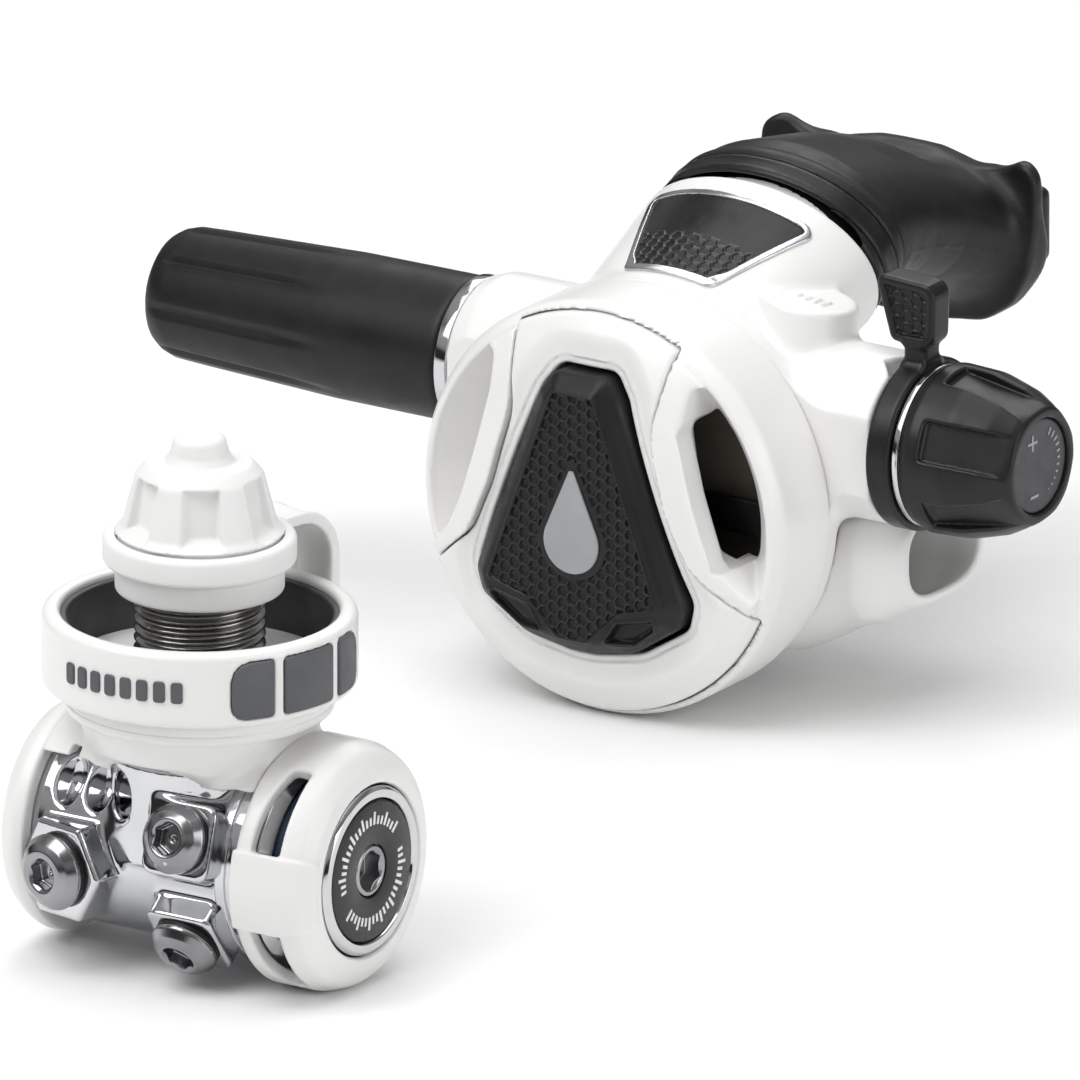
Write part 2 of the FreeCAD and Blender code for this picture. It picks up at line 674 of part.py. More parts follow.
def purge_spring():
    spring = coil(4.4, 0.55, SPIDER_Y - BUTTON_BACK_Y, 1.5)
    return aim(spring, Y_AXIS, Vector(0, BUTTON_BACK_Y, 0))


def diaphragm():
    return turned("y", [
        (12.2, 31.0), (12.2, 33.9), (15.0, 33.9), (15.0, 31.0),
        (13.7, 30.6), (13.7, 3.05), (12.9, 3.05), (12.9, 30.6),
    ])


def diaphragm_plate():
    """Rigid disc in the middle of the diaphragm, with the wear pad that rides on the lever."""
    return fused([tube("y", 12.1, 12.8, 11.0), tube("y", 12.8, 13.8, 3.0), tube("y", 13.8, 14.4, 1.2)])


def case_envelope(shrink):
    """Bowl of the case behind the cover, made smaller by shrink for its inside."""
    s = shrink
    return turned("y", [
        (RING_DEPTH + 0.05, 0), (RING_DEPTH + 0.05, 36.9 - s), (18.5, 36.4 - s), (24, 33.2 - s), (30, 27.4 - s),
        (35.5 - 0.5 * s, 19.0 - s), (39.0 - s, 8.0), (39.0 - s, 0),
    ])


def mouth_tube(inset):
    t = math.radians(MOUTH_TILT)
    along = Vector(0, math.cos(t), math.sin(t))
    end = Vector(0, MOUTH_Y, MOUTH_Z)
    base = end - along * 36
    wires = [
        ellipse_wire(base, MOUTH_A - 1.6 - inset, MOUTH_B - 1.4 - inset, MOUTH_TILT),
        ellipse_wire(end, MOUTH_A - inset, MOUTH_B - inset, MOUTH_TILT),
    ]
    return loft(wires)


def mouth_spigot(grow, length):
    """Oval rim that the mouthpiece is pulled over, from the collar outwards."""
    t = math.radians(MOUTH_TILT)
    along = Vector(0, math.cos(t), math.sin(t))
    start = Vector(0, MOUTH_Y, MOUTH_Z)
    wires = [
        ellipse_wire(start + along * s, MOUTH_A - 3.4 + grow, MOUTH_B - 3.4 + grow, MOUTH_TILT)
        for s in (-1.0, length)
    ]
    return loft(wires)


def valve_axis():
    angle = math.radians(VALVE_TILT)
    return Vector(0, math.cos(angle), -math.sin(angle))


VALVE_CENTRE = Vector(0, 28.0, -19.0)


def case_housing():
    barrel = turned("x", [
        (BARREL_LEFT, 0), (BARREL_LEFT, 14.0), (-38, BARREL_R), (BARREL_RIGHT, BARREL_R), (BARREL_RIGHT, 0),
    ], BARREL)
    marker = Part.makeCone(10.5, 8.6, 12, Vector(21.0, 30, 22), Vector(0.12, 0.1, 1))
    seat = Part.makeCylinder(13.6, 14, VALVE_CENTRE - valve_axis() * 10, valve_axis())
    case = fused([case_envelope(0), barrel, mouth_tube(0), mouth_spigot(0, 8.0), marker, seat])
    case = case.cut(tube("y", -20, RING_DEPTH + 0.05, RING_OUTER_R + 0.6))
    inside = fused([case_envelope(2.6), mouth_tube(3.0), mouth_spigot(-2.2, 12.0)])
    keep = Part.makeCylinder(20, 6, VALVE_CENTRE - valve_axis() * 0.5, valve_axis())
    case = case.cut(inside.cut(keep))
    case = case.cut(tube("x", BARREL_LEFT - 1, BARREL_RIGHT + 1, AIR_TUBE_R + RUN, centre=BARREL))
    case = case.cut(tube("x", -6, BARREL_RIGHT + 1, VANE_R + 0.15, centre=BARREL))
    for i in range(4):
        angle = math.radians(45 + 90 * i)
        side = Vector(1, 0, 0) * math.cos(angle) + valve_axis().cross(X_AXIS) * math.sin(angle)
        case = case.cut(Part.makeCylinder(3.9, 18, VALVE_CENTRE + side * 6.6 - valve_axis() * 9, valve_axis()))
    case = case.cut(Part.makeCylinder(1.6 + RUN, 20, VALVE_CENTRE - valve_axis() * 10, valve_axis()))
    case = case.cut(Part.makeCylinder(12.8, 20, VALVE_CENTRE + valve_axis() * 4.0, valve_axis()))
    return biggest(case)


def exhaust_valve():
    """Mushroom flap that opens away from the case when the diver breathes out."""
    disc = Part.makeCylinder(12.0, 1.2, VALVE_CENTRE + valve_axis() * 4.05, valve_axis())
    stem = Part.makeCylinder(1.6, 9.0, VALVE_CENTRE - valve_axis() * 4.9, valve_axis())
    return disc.fuse(stem).removeSplitter()


def exhaust_tee():
    """Wide duct behind the case that leads the bubbles out to both sides."""
    half = ((-TEE_END_X, 40, -10, 13, 9), (-37, 37.5, -11.5, 16, 11.5), (-21, 34.5, -17, 17.5, 13.5))
    stations = half + ((0, 33.5, -20, 18.5, 13.5),)
    stations += tuple((-x, y, z, a, b) for x, y, z, a, b in half[::-1])
    outer = loft([tee_wire(x, y, z, a, b) for x, y, z, a, b in stations])
    inner = loft([tee_wire(x * 1.04, y, z, a - 1.8, b - 1.8) for x, y, z, a, b in stations])
    tee = outer.cut(inner)
    drum = case_envelope(-0.15)
    tee = tee.cut(drum)
    tee = tee.cut(tube("y", -20, RING_DEPTH + 0.1, 60))
    tee = tee.cut(tube("x", -50, 50, BARREL_R + 0.1, centre=BARREL))
    tee = tee.cut(mouth_tube(-0.1))
    tee = tee.cut(Part.makeCylinder(13.8, 16, VALVE_CENTRE - valve_axis() * 10, valve_axis()))
    return biggest(tee)


def tee_wire(x, y, z, half_y, half_z):
    centre = Vector(x, y, z)
    curve = Part.Ellipse(centre + Y_AXIS * half_y, centre + Z_AXIS * half_z, centre)
    return Part.Wire(curve.toShape())


def biggest(shape):
    """The largest solid of a cut that left crumbs."""
    return max(shape.Solids, key=lambda solid: solid.Volume)


def air_barrel():
    """Metal valve tube through the case, from the inlet to the adjusting knob."""
    body = tube("x", BARREL_LEFT - 1.5, 40.0, AIR_TUBE_R, AIR_TUBE_BORE, BARREL)
    lever_slot = box(LEVER_PIVOT_X - 4.5, LEVER_PIVOT_X + 3.5, 0, BARREL_Y - 4, BARREL_Z - 3.0, BARREL_Z + 3.0)
    outlet = box(-8, 6, BARREL_Y + 2, BARREL_Y + 20, BARREL_Z - 4, BARREL_Z + 4)
    return body.cut(lever_slot.fuse(outlet))


def demand_orifice():
    return tube("x", ORIFICE_END - 8, ORIFICE_END, AIR_TUBE_BORE - RUN, 2.6, BARREL)


def demand_poppet():
    """Long poppet: seat disc at the orifice, guide with the slot for the lever's toe."""
    seat = tube("x", ORIFICE_END + 0.1, ORIFICE_END + 4, 4.0, centre=BARREL)
    stem = tube("x", ORIFICE_END + 4, LEVER_PIVOT_X - 7, 2.4, centre=BARREL)
    guide = tube("x", LEVER_PIVOT_X - 7, SPRING_START, AIR_TUBE_BORE - 2 * RUN, centre=BARREL)
    toe_slot = box(
        LEVER_PIVOT_X - 4, LEVER_PIVOT_X + 1.6, BARREL_Y - 10, BARREL_Y - 2.4, BARREL_Z - 7, BARREL_Z + 7,
    )
    return fused([seat, stem, guide]).cut(toe_slot)


def demand_spring():
    return aim(coil(4.0, 0.55, SPRING_LENGTH, 5), X_AXIS, Vector(SPRING_START, BARREL_Y, BARREL_Z))


def spring_seat():
    """Screwed seat that the knob drives along the barrel to load the spring."""
    start = SPRING_START + SPRING_LENGTH + 0.2
    return tube("x", start, start + 3.4, AIR_TUBE_BORE - 2 * RUN, centre=BARREL)


def demand_lever():
    """Lever whose foot rides on the diaphragm and whose toe moves the poppet."""
    arm = box(-3.0, LEVER_PIVOT_X + 0.6, LEVER_Y, LEVER_Y + 1.0, BARREL_Z - 2.7, BARREL_Z + 2.7)
    blade = box(-3.0, 3.0, LEVER_Y, LEVER_Y + 1.0, -3.0, BARREL_Z + 2.7)
    foot = box(-3.0, 3.0, 14.6, LEVER_Y + 1.0, -3.0, 3.0)
    hub = tube("z", BARREL_Z - 3.3, BARREL_Z + 3.3, 1.3, centre=(LEVER_PIVOT_X, LEVER_PIVOT_Y))
    toe = box(LEVER_PIVOT_X - 2.0, LEVER_PIVOT_X, LEVER_PIVOT_Y, BARREL_Y - 3.2, BARREL_Z - 2.4, BARREL_Z + 2.4)
    return fused([arm, blade, foot, hub, toe])


def adjust_screw():
    return tube("x", 36.0, KNOB_X, AIR_TUBE_BORE - RUN, centre=BARREL)


def knob_ring():
    return tube("x", KNOB_RING_X, KNOB_X, 14.4, AIR_TUBE_BORE, BARREL)


def knob():
    grip = turned("x", [
        (KNOB_X, 0), (KNOB_X, 14.2), (53.0, KNOB_R), (60.5, 14.7), (67.0, 12.9), (70.6, KNOB_TIP_R + 0.5),
        (KNOB_END_X, KNOB_TIP_R - 0.4), (KNOB_END_X, 8.6), (KNOB_END_X - 1.2, 8.4), (KNOB_END_X - 1.2, 0),
    ], BARREL)
    for i in range(KNOB_FLUTES):
        flute = box(55.5, 74, -3.6, 3.6, 13.2, 20)
        flute.rotate(Vector(55.5, 0, 13.2), Y_AXIS, 11)
        flute.rotate(Vector(0, 0, 0), X_AXIS, 360 / KNOB_FLUTES * i + KNOB_PHASE)
        flute.translate(Vector(0, BARREL_Y, BARREL_Z))
        grip = grip.cut(flute)
    return grip


def knob_dial():
    return tube("x", KNOB_END_X - 1.2, KNOB_END_X - 0.5, 8.3, centre=BARREL)


def venturi_lever():
    """Disc between case and knob with its upright stem and wide finger paddle."""
    disc = turned("x", [
        (LEVER_X, AIR_TUBE_BORE + 0.2), (LEVER_X, LEVER_R - 0.6), (LEVER_X + 0.7, LEVER_R),
        (LEVER_END_X - 0.7, LEVER_R),
        (LEVER_END_X, LEVER_R - 0.6), (LEVER_END_X, AIR_TUBE_BORE + 0.2),
    ], BARREL)
    stem = box(LEVER_X, LEVER_END_X, PADDLE_Y, PADDLE_Y + 5.6, BARREL_Z + 12, PADDLE_Z + 2)
    corners = [(39.6, PADDLE_TOP), (52.0, PADDLE_TOP - 0.6), (51.6, PADDLE_Z), (43.0, PADDLE_Z)]
    paddle = prism_y(corners, PADDLE_Y, PADDLE_Y + 5.6)
    return fused([disc, stem, paddle])


def venturi_vane():
    """Sleeve on the air tube; its long tongue steers the air in the mouth tube."""
    sleeve = tube("x", 22.0, LEVER_X, VANE_R, AIR_TUBE_R + RUN, BARREL)
    tongue = tube("x", -4.0, 22.0, VANE_R, AIR_TUBE_R + RUN, BARREL)
    tongue = tongue.common(box(-4, 22, BARREL_Y + 7, BARREL_Y + 20, BARREL_Z - 20, BARREL_Z + 20))
    collar = tube("x", LEVER_X - 4.8, LEVER_X, AIR_TUBE_R + RUN, AIR_TUBE_BORE + 0.2, BARREL)
    return fused([sleeve, tongue, collar])


def inlet_nut():
    """Chrome swivel nut that holds the inlet fitting, with the stub that guides the sleeve."""
    ring = tube("x", INLET_NUT_X, BARREL_LEFT, 13.6, AIR_TUBE_R + RUN, BARREL)
    stub = turned("x", [
        (-84, 4.0), (-84, 6.6), (-82, SLEEVE_BORE_R - 0.1), (INLET_NUT_X, SLEEVE_BORE_R - 0.1), (INLET_NUT_X, 13.0),
        (BARREL_LEFT - 1.6, 13.0), (BARREL_LEFT - 1.6, 4.0),
    ], BARREL)
    return ring.fuse(stub).removeSplitter()


def hose_sleeve():
    """Rubber sleeve over the inlet fitting; it slides back along the hose."""
    sleeve = turned("x", [
        (SLEEVE_X, SLEEVE_BORE_R), (SLEEVE_X, SLEEVE_R - 0.5), (SLEEVE_X - 0.7, SLEEVE_R), (-70, 12.9),
        (SLEEVE_END_X + 4, SLEEVE_TIP_R), (SLEEVE_END_X + 1.0, SLEEVE_TIP_R - 1.4), (SLEEVE_END_X, SLEEVE_TIP_R - 3.4),
        (SLEEVE_END_X, SLEEVE_EYE_R), (SLEEVE_END_X + 12, SLEEVE_EYE_R), (SLEEVE_END_X + 14.9, SLEEVE_BORE_R),
    ], BARREL)
    return sleeve


def lip_outline():
    """Outline of the flange that lies behind the lips: low in the middle, with two raised ears."""
    right = [
        (0, 39.2), (5, 39.4), (14, 37.3), (20, 39.7), (25, 41.5), (28, 39.4), (28.9, 35.7), (27.8, 24.8),
        (23.1, 15.3), (16.3, 10.5), (0, 8.7),
    ]
    return right + [(-x, z) for x, z in right[-2:0:-1]]


def mouthpiece():
    """Silicone mouthpiece: oval neck, curved lip flange and two bite tabs, hollow all through."""
    t = math.radians(MOUTH_TILT)
    along = Vector(0, math.cos(t), math.sin(t))
    start = Vector(0, MOUTH_Y, MOUTH_Z) + along * 0.05
    neck = [
        ellipse_wire(start, MOUTH_A - 0.3, MOUTH_B - 0.3, MOUTH_TILT),
        ellipse_wire(start + along * 9.0, MOUTH_A - 1.3, MOUTH_B - 1.2, MOUTH_TILT),
        ellipse_wire(Vector(0, 74.3, 34.0), 20.6, 13.6, 8.0),
        ellipse_wire(Vector(0, 86.3, 30.4), 23.4, 14.0, -2.0),
        ellipse_wire(Vector(0, 97.3, 24.5), 26.6, 13.6, -6.0),
    ]
    flange = prism_y(lip_outline(), 96.8, 100.3)
    tabs = [box(s * 17.0 - 3.6, s * 17.0 + 3.6, 98, 111.3, 18.4, 31.9) for s in (-1, 1)]
    bore = [
        ellipse_wire(start + along * 8.2, MOUTH_A - 5.6, MOUTH_B - 5.6, MOUTH_TILT),
        ellipse_wire(Vector(0, 74.3, 34.0), 16.6, 9.6, 8.0),
        ellipse_wire(Vector(0, 101.3, 25.5), 12.6, 8.0, -6.0),
    ]
    solid = fused([loft(neck), flange] + tabs)
    solid = solid.cut(loft(bore))
    return solid.cut(mouth_spigot(0.02, 8.3))


def clamp_pair():
    """Mouthpiece and the band round its neck, let into a groove."""
    piece = mouthpiece()
    outer = loft([neck_wire(s, 0.2) for s in (2.6, 6.8)])
    core = loft([neck_wire(s, 1.4) for s in (2.0, 7.4)])
    band = outer.cut(core)
    return piece.cut(band), band


def neck_wire(s, inset):
    """Section of the mouthpiece's neck, s beyond the collar."""
    t = math.radians(MOUTH_TILT)
    centre = Vector(0, MOUTH_Y + s * math.cos(t), MOUTH_Z + s * math.sin(t))
    shrink = inset + 0.09 * s
    return ellipse_wire(centre, MOUTH_A - shrink, MOUTH_B - shrink, MOUTH_TILT)


def label_pair(case):
    """Blank badge on top of the case: a frame and the dark plate inside it."""
    t = math.radians(MOUTH_TILT)
    up = Vector(0, -math.sin(t), math.cos(t))
    base = Vector(0, MOUTH_Y, MOUTH_Z)

    def slab(grow, low, high):
        outline = ((-8.3, -26.5), (8.3, -26.5), (16.4, -5.5), (-16.4, -5.5))
        points = []
        for x, s in outline:
            side = math.copysign(grow, x)
            end = grow if s > -20 else -grow
            points.append(Vector(x + side, (s + end) * math.cos(t), (s + end) * math.sin(t)))
        points = [p + base for p in points]
        face = Part.Face(Part.makePolygon(points + points[:1]))
        return face.extrude(up * 30).common(shell(low, high))

    def shell(low, high):
        outer = mouth_tube(-high)
        return outer.cut(mouth_tube(-low)) if low < high else outer

    plate = slab(-0.05, 0.02, 0.52).cut(case)
    frame = slab(0.9, 0.02, 0.62).cut(slab(0.0, -0.5, 1.5)).cut(case).cut(plate)
    return biggest(frame), biggest(plate)


# ---- the set ----
def first_stage():
    return {
        "first_stage_body": first_stage_body(),
        "diaphragm_chamber": diaphragm_chamber(),
        "main_diaphragm": main_diaphragm(),
        "spring_carrier": spring_carrier(),
        "main_spring": main_spring(),
        "spring_end_cap": spring_end_cap(),
        "label_disc": label_disc(),
        "ip_adjuster": ip_adjuster(),
        "valve_seat": valve_seat(),
        "main_poppet": main_poppet(),
        "seat_spring": seat_spring(),
        "balance_plug": balance_plug(),
        "left_bumper": left_bumper(),
        "right_bumper": right_bumper(),
        "top_shroud": top_shroud(),
        "neck_collar": neck_collar(),
        "lp_port_plugs": lp_port_plugs(),
        "gauge_port_plugs": gauge_port_plugs(),
        "port_washers": port_washers(),
        "din_stem": din_stem(),
        "din_oring": din_oring(),
        "din_filter": din_filter(),
        "din_coupling": din_coupling(),
        "handwheel": handwheel(),
        "handwheel_pads": handwheel_pads(),
        "handwheel_liner": handwheel_liner(),
        "cap_tether_ring": cap_tether_ring(),
        "dust_cap": dust_cap(),
        "cap_tether": cap_tether(),
    }


def second_stage():
    piece, band = clamp_pair()
    case = case_housing()
    frame, plate = label_pair(case)
    return {
        "case_housing": case,
        "cover_ring": cover_ring(),
        "cover_plate": cover_plate(),
        "purge_button": purge_button(),
        "purge_emblem": purge_emblem(),
        "purge_spring": purge_spring(),
        "diaphragm": diaphragm(),
        "diaphragm_plate": diaphragm_plate(),
        "exhaust_tee": exhaust_tee(),
        "exhaust_valve": exhaust_valve(),
        "air_barrel": air_barrel(),
        "demand_orifice": demand_orifice(),
        "demand_poppet": demand_poppet(),
        "demand_spring": demand_spring(),
        "spring_seat": spring_seat(),
        "demand_lever": demand_lever(),
        "adjust_screw": adjust_screw(),
        "knob_ring": knob_ring(),
        "knob": knob(),
        "knob_dial": knob_dial(),
        "venturi_lever": venturi_lever(),
        "venturi_vane": venturi_vane(),
        "inlet_nut": inlet_nut(),
        "hose_sleeve": hose_sleeve(),
        "mouthpiece": piece,
        "mouthpiece_clamp": band,
        "label_frame": frame,
        "label_plate": plate,
    }


def build():
    """All nodes in the set's own frame, with the origin at the bottom centre."""
    nodes = {}
    for name, shape in first_stage().items():
        shape.translate(Vector(0, 0, FIRST_HEIGHT))
        nodes[name] = shape
    for name, shape in second_stage().items():
        shape.translate(Vector(SECOND_X, SECOND_Y, SECOND_HEIGHT))
        nodes[name] = shape
    whole = Part.makeCompound(list(nodes.values())).optimalBoundingBox(False, False)
    shift = Vector(-(whole.XMin + whole.XMax) / 2, -(whole.YMin + whole.YMax) / 2, -whole.ZMin)
    for shape in nodes.values():
        shape.translate(shift)
    return nodes, shift


def main():
    os.makedirs("parts", exist_ok=True)
    nodes, _ = build()
    for name, shape in nodes.items():
        shape.exportStep(f"parts/{name}.step")


if __name__ == "__main__":
    main()
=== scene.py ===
import json
import math

import bpy
import numpy as np
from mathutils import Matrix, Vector


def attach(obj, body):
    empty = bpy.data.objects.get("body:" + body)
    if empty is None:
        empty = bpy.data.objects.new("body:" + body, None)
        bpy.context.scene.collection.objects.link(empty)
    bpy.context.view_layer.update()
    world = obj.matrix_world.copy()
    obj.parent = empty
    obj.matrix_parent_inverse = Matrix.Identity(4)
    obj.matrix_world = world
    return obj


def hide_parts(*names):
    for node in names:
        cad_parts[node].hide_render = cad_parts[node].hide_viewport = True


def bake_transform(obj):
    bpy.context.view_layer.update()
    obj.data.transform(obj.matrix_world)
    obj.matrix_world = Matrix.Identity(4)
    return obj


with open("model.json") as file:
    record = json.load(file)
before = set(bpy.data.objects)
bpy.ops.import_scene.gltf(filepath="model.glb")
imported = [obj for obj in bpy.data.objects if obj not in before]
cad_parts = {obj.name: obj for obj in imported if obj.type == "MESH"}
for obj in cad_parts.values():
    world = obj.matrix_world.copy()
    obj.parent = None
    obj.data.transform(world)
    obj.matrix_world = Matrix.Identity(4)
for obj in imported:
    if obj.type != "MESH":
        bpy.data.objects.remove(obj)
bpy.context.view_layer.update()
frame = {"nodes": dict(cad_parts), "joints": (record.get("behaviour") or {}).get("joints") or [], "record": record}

# Lengths below are in millimetres, in the frame of the stage that a piece belongs to:
# X to the right, Y to the back, Z up, as the front of the second stage is seen.
MM = 0.001


def joint_place(name):
    """Where a joint is, in millimetres."""
    joint = next(j for j in frame["joints"] if j["name"] == name)
    return np.array(joint["pos_m"]) / MM


FIRST = joint_place("handwheel_spin") - (0, 0, 35)          # thread axis at the height of the body axis
SECOND = joint_place("knob_turn") - (60, 28.5, 12.9)        # centre of the cover ring's front plane

# ---- first stage ----
BODY_BACK = 2.0             # the body axis lies this far behind the thread axis
BODY_R = 18.0
BODY_LEFT = -24.3
SEAM_X = 14.0               # body to diaphragm chamber
CHAMBER_R = 19.2
DISC_X = 33.1               # back of the label disc
END_X = 33.9                # its front
DISC_R = 12.4
ADJUSTER_R = 4.55
PORT_X = 7.6
PORT_ANGLES = (18, -36)     # degrees above the horizontal
PORT_FACE_R = 21.6
PORT_R = 4.7
PLUG_R = 4.6
PORT_HEAD_R = 6.1
GAUGE_X = -12.2
GAUGE_Z = -3.2
GAUGE_TURN = 12             # degrees that the gauge ports lean towards -X
GAUGE_HEAD_R = 6.7
CUP_PLACES = (-18.5, -12.2, -5.9)   # scooped cups along the body
BUMPER_X = 19.3
BUMPER_R = 22.0
BUMPER_END = -31.5
NECK_R = 12.5
NECK_TOP = 24.3
SHROUD_R = 21.6
COLLAR_R = 23.2
COLLAR_TOP = 28.4
WHEEL_BOTTOM = 28.7
WHEEL_TOP = 42.3
WHEEL_R = 27.2
WHEEL_INNER_R = 24.0
WHEEL_FLOOR = 31.7
LINER_R = 22.9
PAD_ANGLE = -12.5           # degrees from +X towards +Y, middle of a group of three pads
PAD_STEP = 24.5
PAD_HALF = 12.1
PAD_SIDE_HALF = 8.2
RIB_STEP = 3.1              # middle to middle of the bars on the rim
THREAD_R = 11.455           # G5/8 thread
THREAD_PITCH = 25.4 / 14
COUPLING_TOP = 52.6
RING_LOW = 50.6
RING_TOP = 55.6
RING_R = 16.7
CAP_SKIRT_Z = 45.7
CAP_R = 14.9
CAP_BORE_R = 11.8
CAP_TOP = 73.5
TETHER_ANGLE = 80.0         # degrees from +X towards +Y
TETHER_REACH = 28.9         # hanging part of the strap, from the thread axis
TETHER_WIDTH = 10.0
TETHER_BEND = 8.4

# ---- second stage ----
COVER_R = 37.1
COVER_DEPTH = 15.2
COVER_INNER_R = 34.2
PLATE_R = 35.8
CROWN_Y = -9.6              # middle of the cover
SEAM_Y = -1.8               # edge of the cover
SEAM_GAP = 0.16             # taken off the plate all round
BED_GAP = 0.14              # added to the plate's bed all round
BUTTON_Y = -9.6
PIN_R = 2.6
CELL_SIZE = 1.32            # honeycomb on the button
SMALL_CELL = 1.25           # honeycomb on label and lever
BARREL_Y = 28.5
BARREL_Z = 12.9
BARREL_R = 15.0
BARREL_LEFT = -42.0
BARREL_RIGHT = 45.0
CASE_DEPTH = 39.0
CASE_WALL = 2.6
BOSS_X = 21.0
BOSS_Y = 30.0
BOSS_R = 10.5
MOUTH_Y = 51.3
MOUTH_Z = 32.05
MOUTH_TILT = math.radians(22.0)
MOUTH_A = 23.9              # half width and half height of the mouth collar
MOUTH_B = 17.2
CLAMP_PLACE = 4.7           # middle of the band, along the mouth collar
TAB_X = 17.0                # bite tabs, to each side
VALVE_Y = 28.0
VALVE_Z = -19.0
VALVE_R = 13.6
VALVE_TILT = math.radians(45.0)
TEE_REACH = 45.0
LEVER_R = 15.3
KNOB_X = 51.4
KNOB_END_X = 72.0
DIAL_X = 70.85
FLUTE_START = 55.6
SLEEVE_START = -44.9
SLEEVE_END = -107.0
SLEEVE_R = 13.0
SLEEVE_BORE_R = 8.7


# ---- outlines ----
def fillet(points, radius, steps=4):
    """A closed outline with round corners; a corner may carry its own radius as a third number."""
    outline = []
    for i, corner in enumerate(points):
        r = corner[2] if len(corner) > 2 else radius
        p = np.array(corner[:2], float)
        a = np.array(points[i - 1][:2], float) - p
        b = np.array(points[(i + 1) % len(points)][:2], float) - p
        la, lb = np.hypot(*a), np.hypot(*b)
        a, b = a / la, b / lb
        angle = math.acos(np.clip(a @ b, -1, 1))
        if r <= 0 or angle > math.pi - 0.04:
            outline.append(p)
            continue
        reach = min(r / math.tan(angle / 2), 0.48 * la, 0.48 * lb)
        centre = p + (a + b) / np.hypot(*(a + b)) * reach / math.cos(angle / 2)
        start, end = p + a * reach - centre, p + b * reach - centre
        turn = math.atan2(start[0] * end[1] - start[1] * end[0], start @ end)
        for k in range(steps + 1):
            c, s = math.cos(turn * k / steps), math.sin(turn * k / steps)
            outline.append(centre + (start[0] * c - start[1] * s, start[0] * s + start[1] * c))
    return np.array(outline)


def mirrored(points):
    """A closed outline from its right half, which runs from the top to the bottom."""
    return list(points) + [(-p[0], *p[1:]) for p in points[::-1]]


def polygon(u, v, outline):
    """Signed distance to a closed outline, negative inside."""
    nearest = np.full(np.broadcast(u, v).shape, 1e9)
    inside = np.zeros(nearest.shape, bool)
    for (au, av), (bu, bv) in zip(outline, np.roll(outline, -1, 0)):
        du, dv = bu - au, bv - av
        t = np.clip(((u - au) * du + (v - av) * dv) / (du * du + dv * dv + 1e-12), 0, 1)
        nearest = np.minimum(nearest, (u - au - t * du) ** 2 + (v - av - t * dv) ** 2)
        if dv != 0:
            inside ^= ((av > v) != (bv > v)) & (u < du * (v - av) / dv + au)
    return np.where(inside, -1.0, 1.0) * np.sqrt(nearest)


# ---- distance fields ----
def join(a, b, blend=0.5):
    """Union of two fields with a fillet about as wide as blend."""
    h = np.clip(0.5 + 0.5 * (b - a) / blend, 0, 1)
    return b * (1 - h) + a * h - blend * h * (1 - h)


def meet(a, b, blend=0.5):
    """Common part of two fields with a rounded edge."""
    return -join(-a, -b, blend)


def cut(a, b, blend=0.5):
    """The first field without the second, with a rounded edge."""
    return meet(a, -b, blend)


def between(s, low, high):
    """Slab from low to high."""
    return np.maximum(low - s, s - high)


def rod(along, across, low, high, radius, edge=0.6):
    """Round bar with rounded ends."""
    return meet(across - radius, between(along, low, high), edge)


def block(x, y, z, low, high, edge=0.6):
    """Box with rounded edges."""
    faces = meet(between(x, low[0], high[0]), between(y, low[1], high[1]), edge)
    return meet(faces, between(z, low[2], high[2]), edge)


def smooth(t):
    """Step from 0 to 1 that eases in and out."""
    t = np.clip(t, 0, 1)
    return t * t * (3 - 2 * t)


def honeycomb(u, v, size):
    """Distance from the walls of a flat-topped honeycomb, largest in a cell's middle."""
    wide, high = 3 * size, math.sqrt(3) * size
    best = None
    for shift in (0.0, 0.5):
        a = np.abs((u / wide + shift + 0.5) % 1 - 0.5) * wide
        b = np.abs((v / high + shift + 0.5) % 1 - 0.5) * high
        reach = np.maximum(b, a * math.sqrt(3) / 2 + b / 2)
        best = reach if best is None else np.minimum(best, reach)
    return high / 2 - best


def contour(field, low, high, step):
    """Quads over the zero surface of a field inside a box, moved onto the surface."""
    size = 8
    axes = []
    for a, b in zip(low, high):
        blocks = int(math.ceil((b - a + 3 * step) / (size * step)))
        axes.append(a - 1.5 * step + step * np.arange(blocks * size))
    counts = [len(a) // size for a in axes]
    mids = [a.reshape(-1, size).mean(1) for a in axes]
    coarse = field(*np.meshgrid(*mids, indexing="ij"))
    values = np.empty([counts[0], size, counts[1], size, counts[2], size])
    values[:] = coarse[:, None, :, None, :, None]
    near = np.argwhere(np.abs(coarse) < size * step * 1.5)
    for start in range(0, len(near), 1500):
        b = near[start:start + 1500]
        x, y, z = (axis.reshape(-1, size)[b[:, i]] for i, axis in enumerate(axes))
        fine = field(
            *np.broadcast_arrays(x[:, :, None, None], y[:, None, :, None], z[:, None, None, :])
        )
        values[b[:, 0], :, b[:, 1], :, b[:, 2], :] = fine
    values = values.reshape([len(a) for a in axes])
    return onto(field, *nets(values, [a[0] for a in axes], step), step)


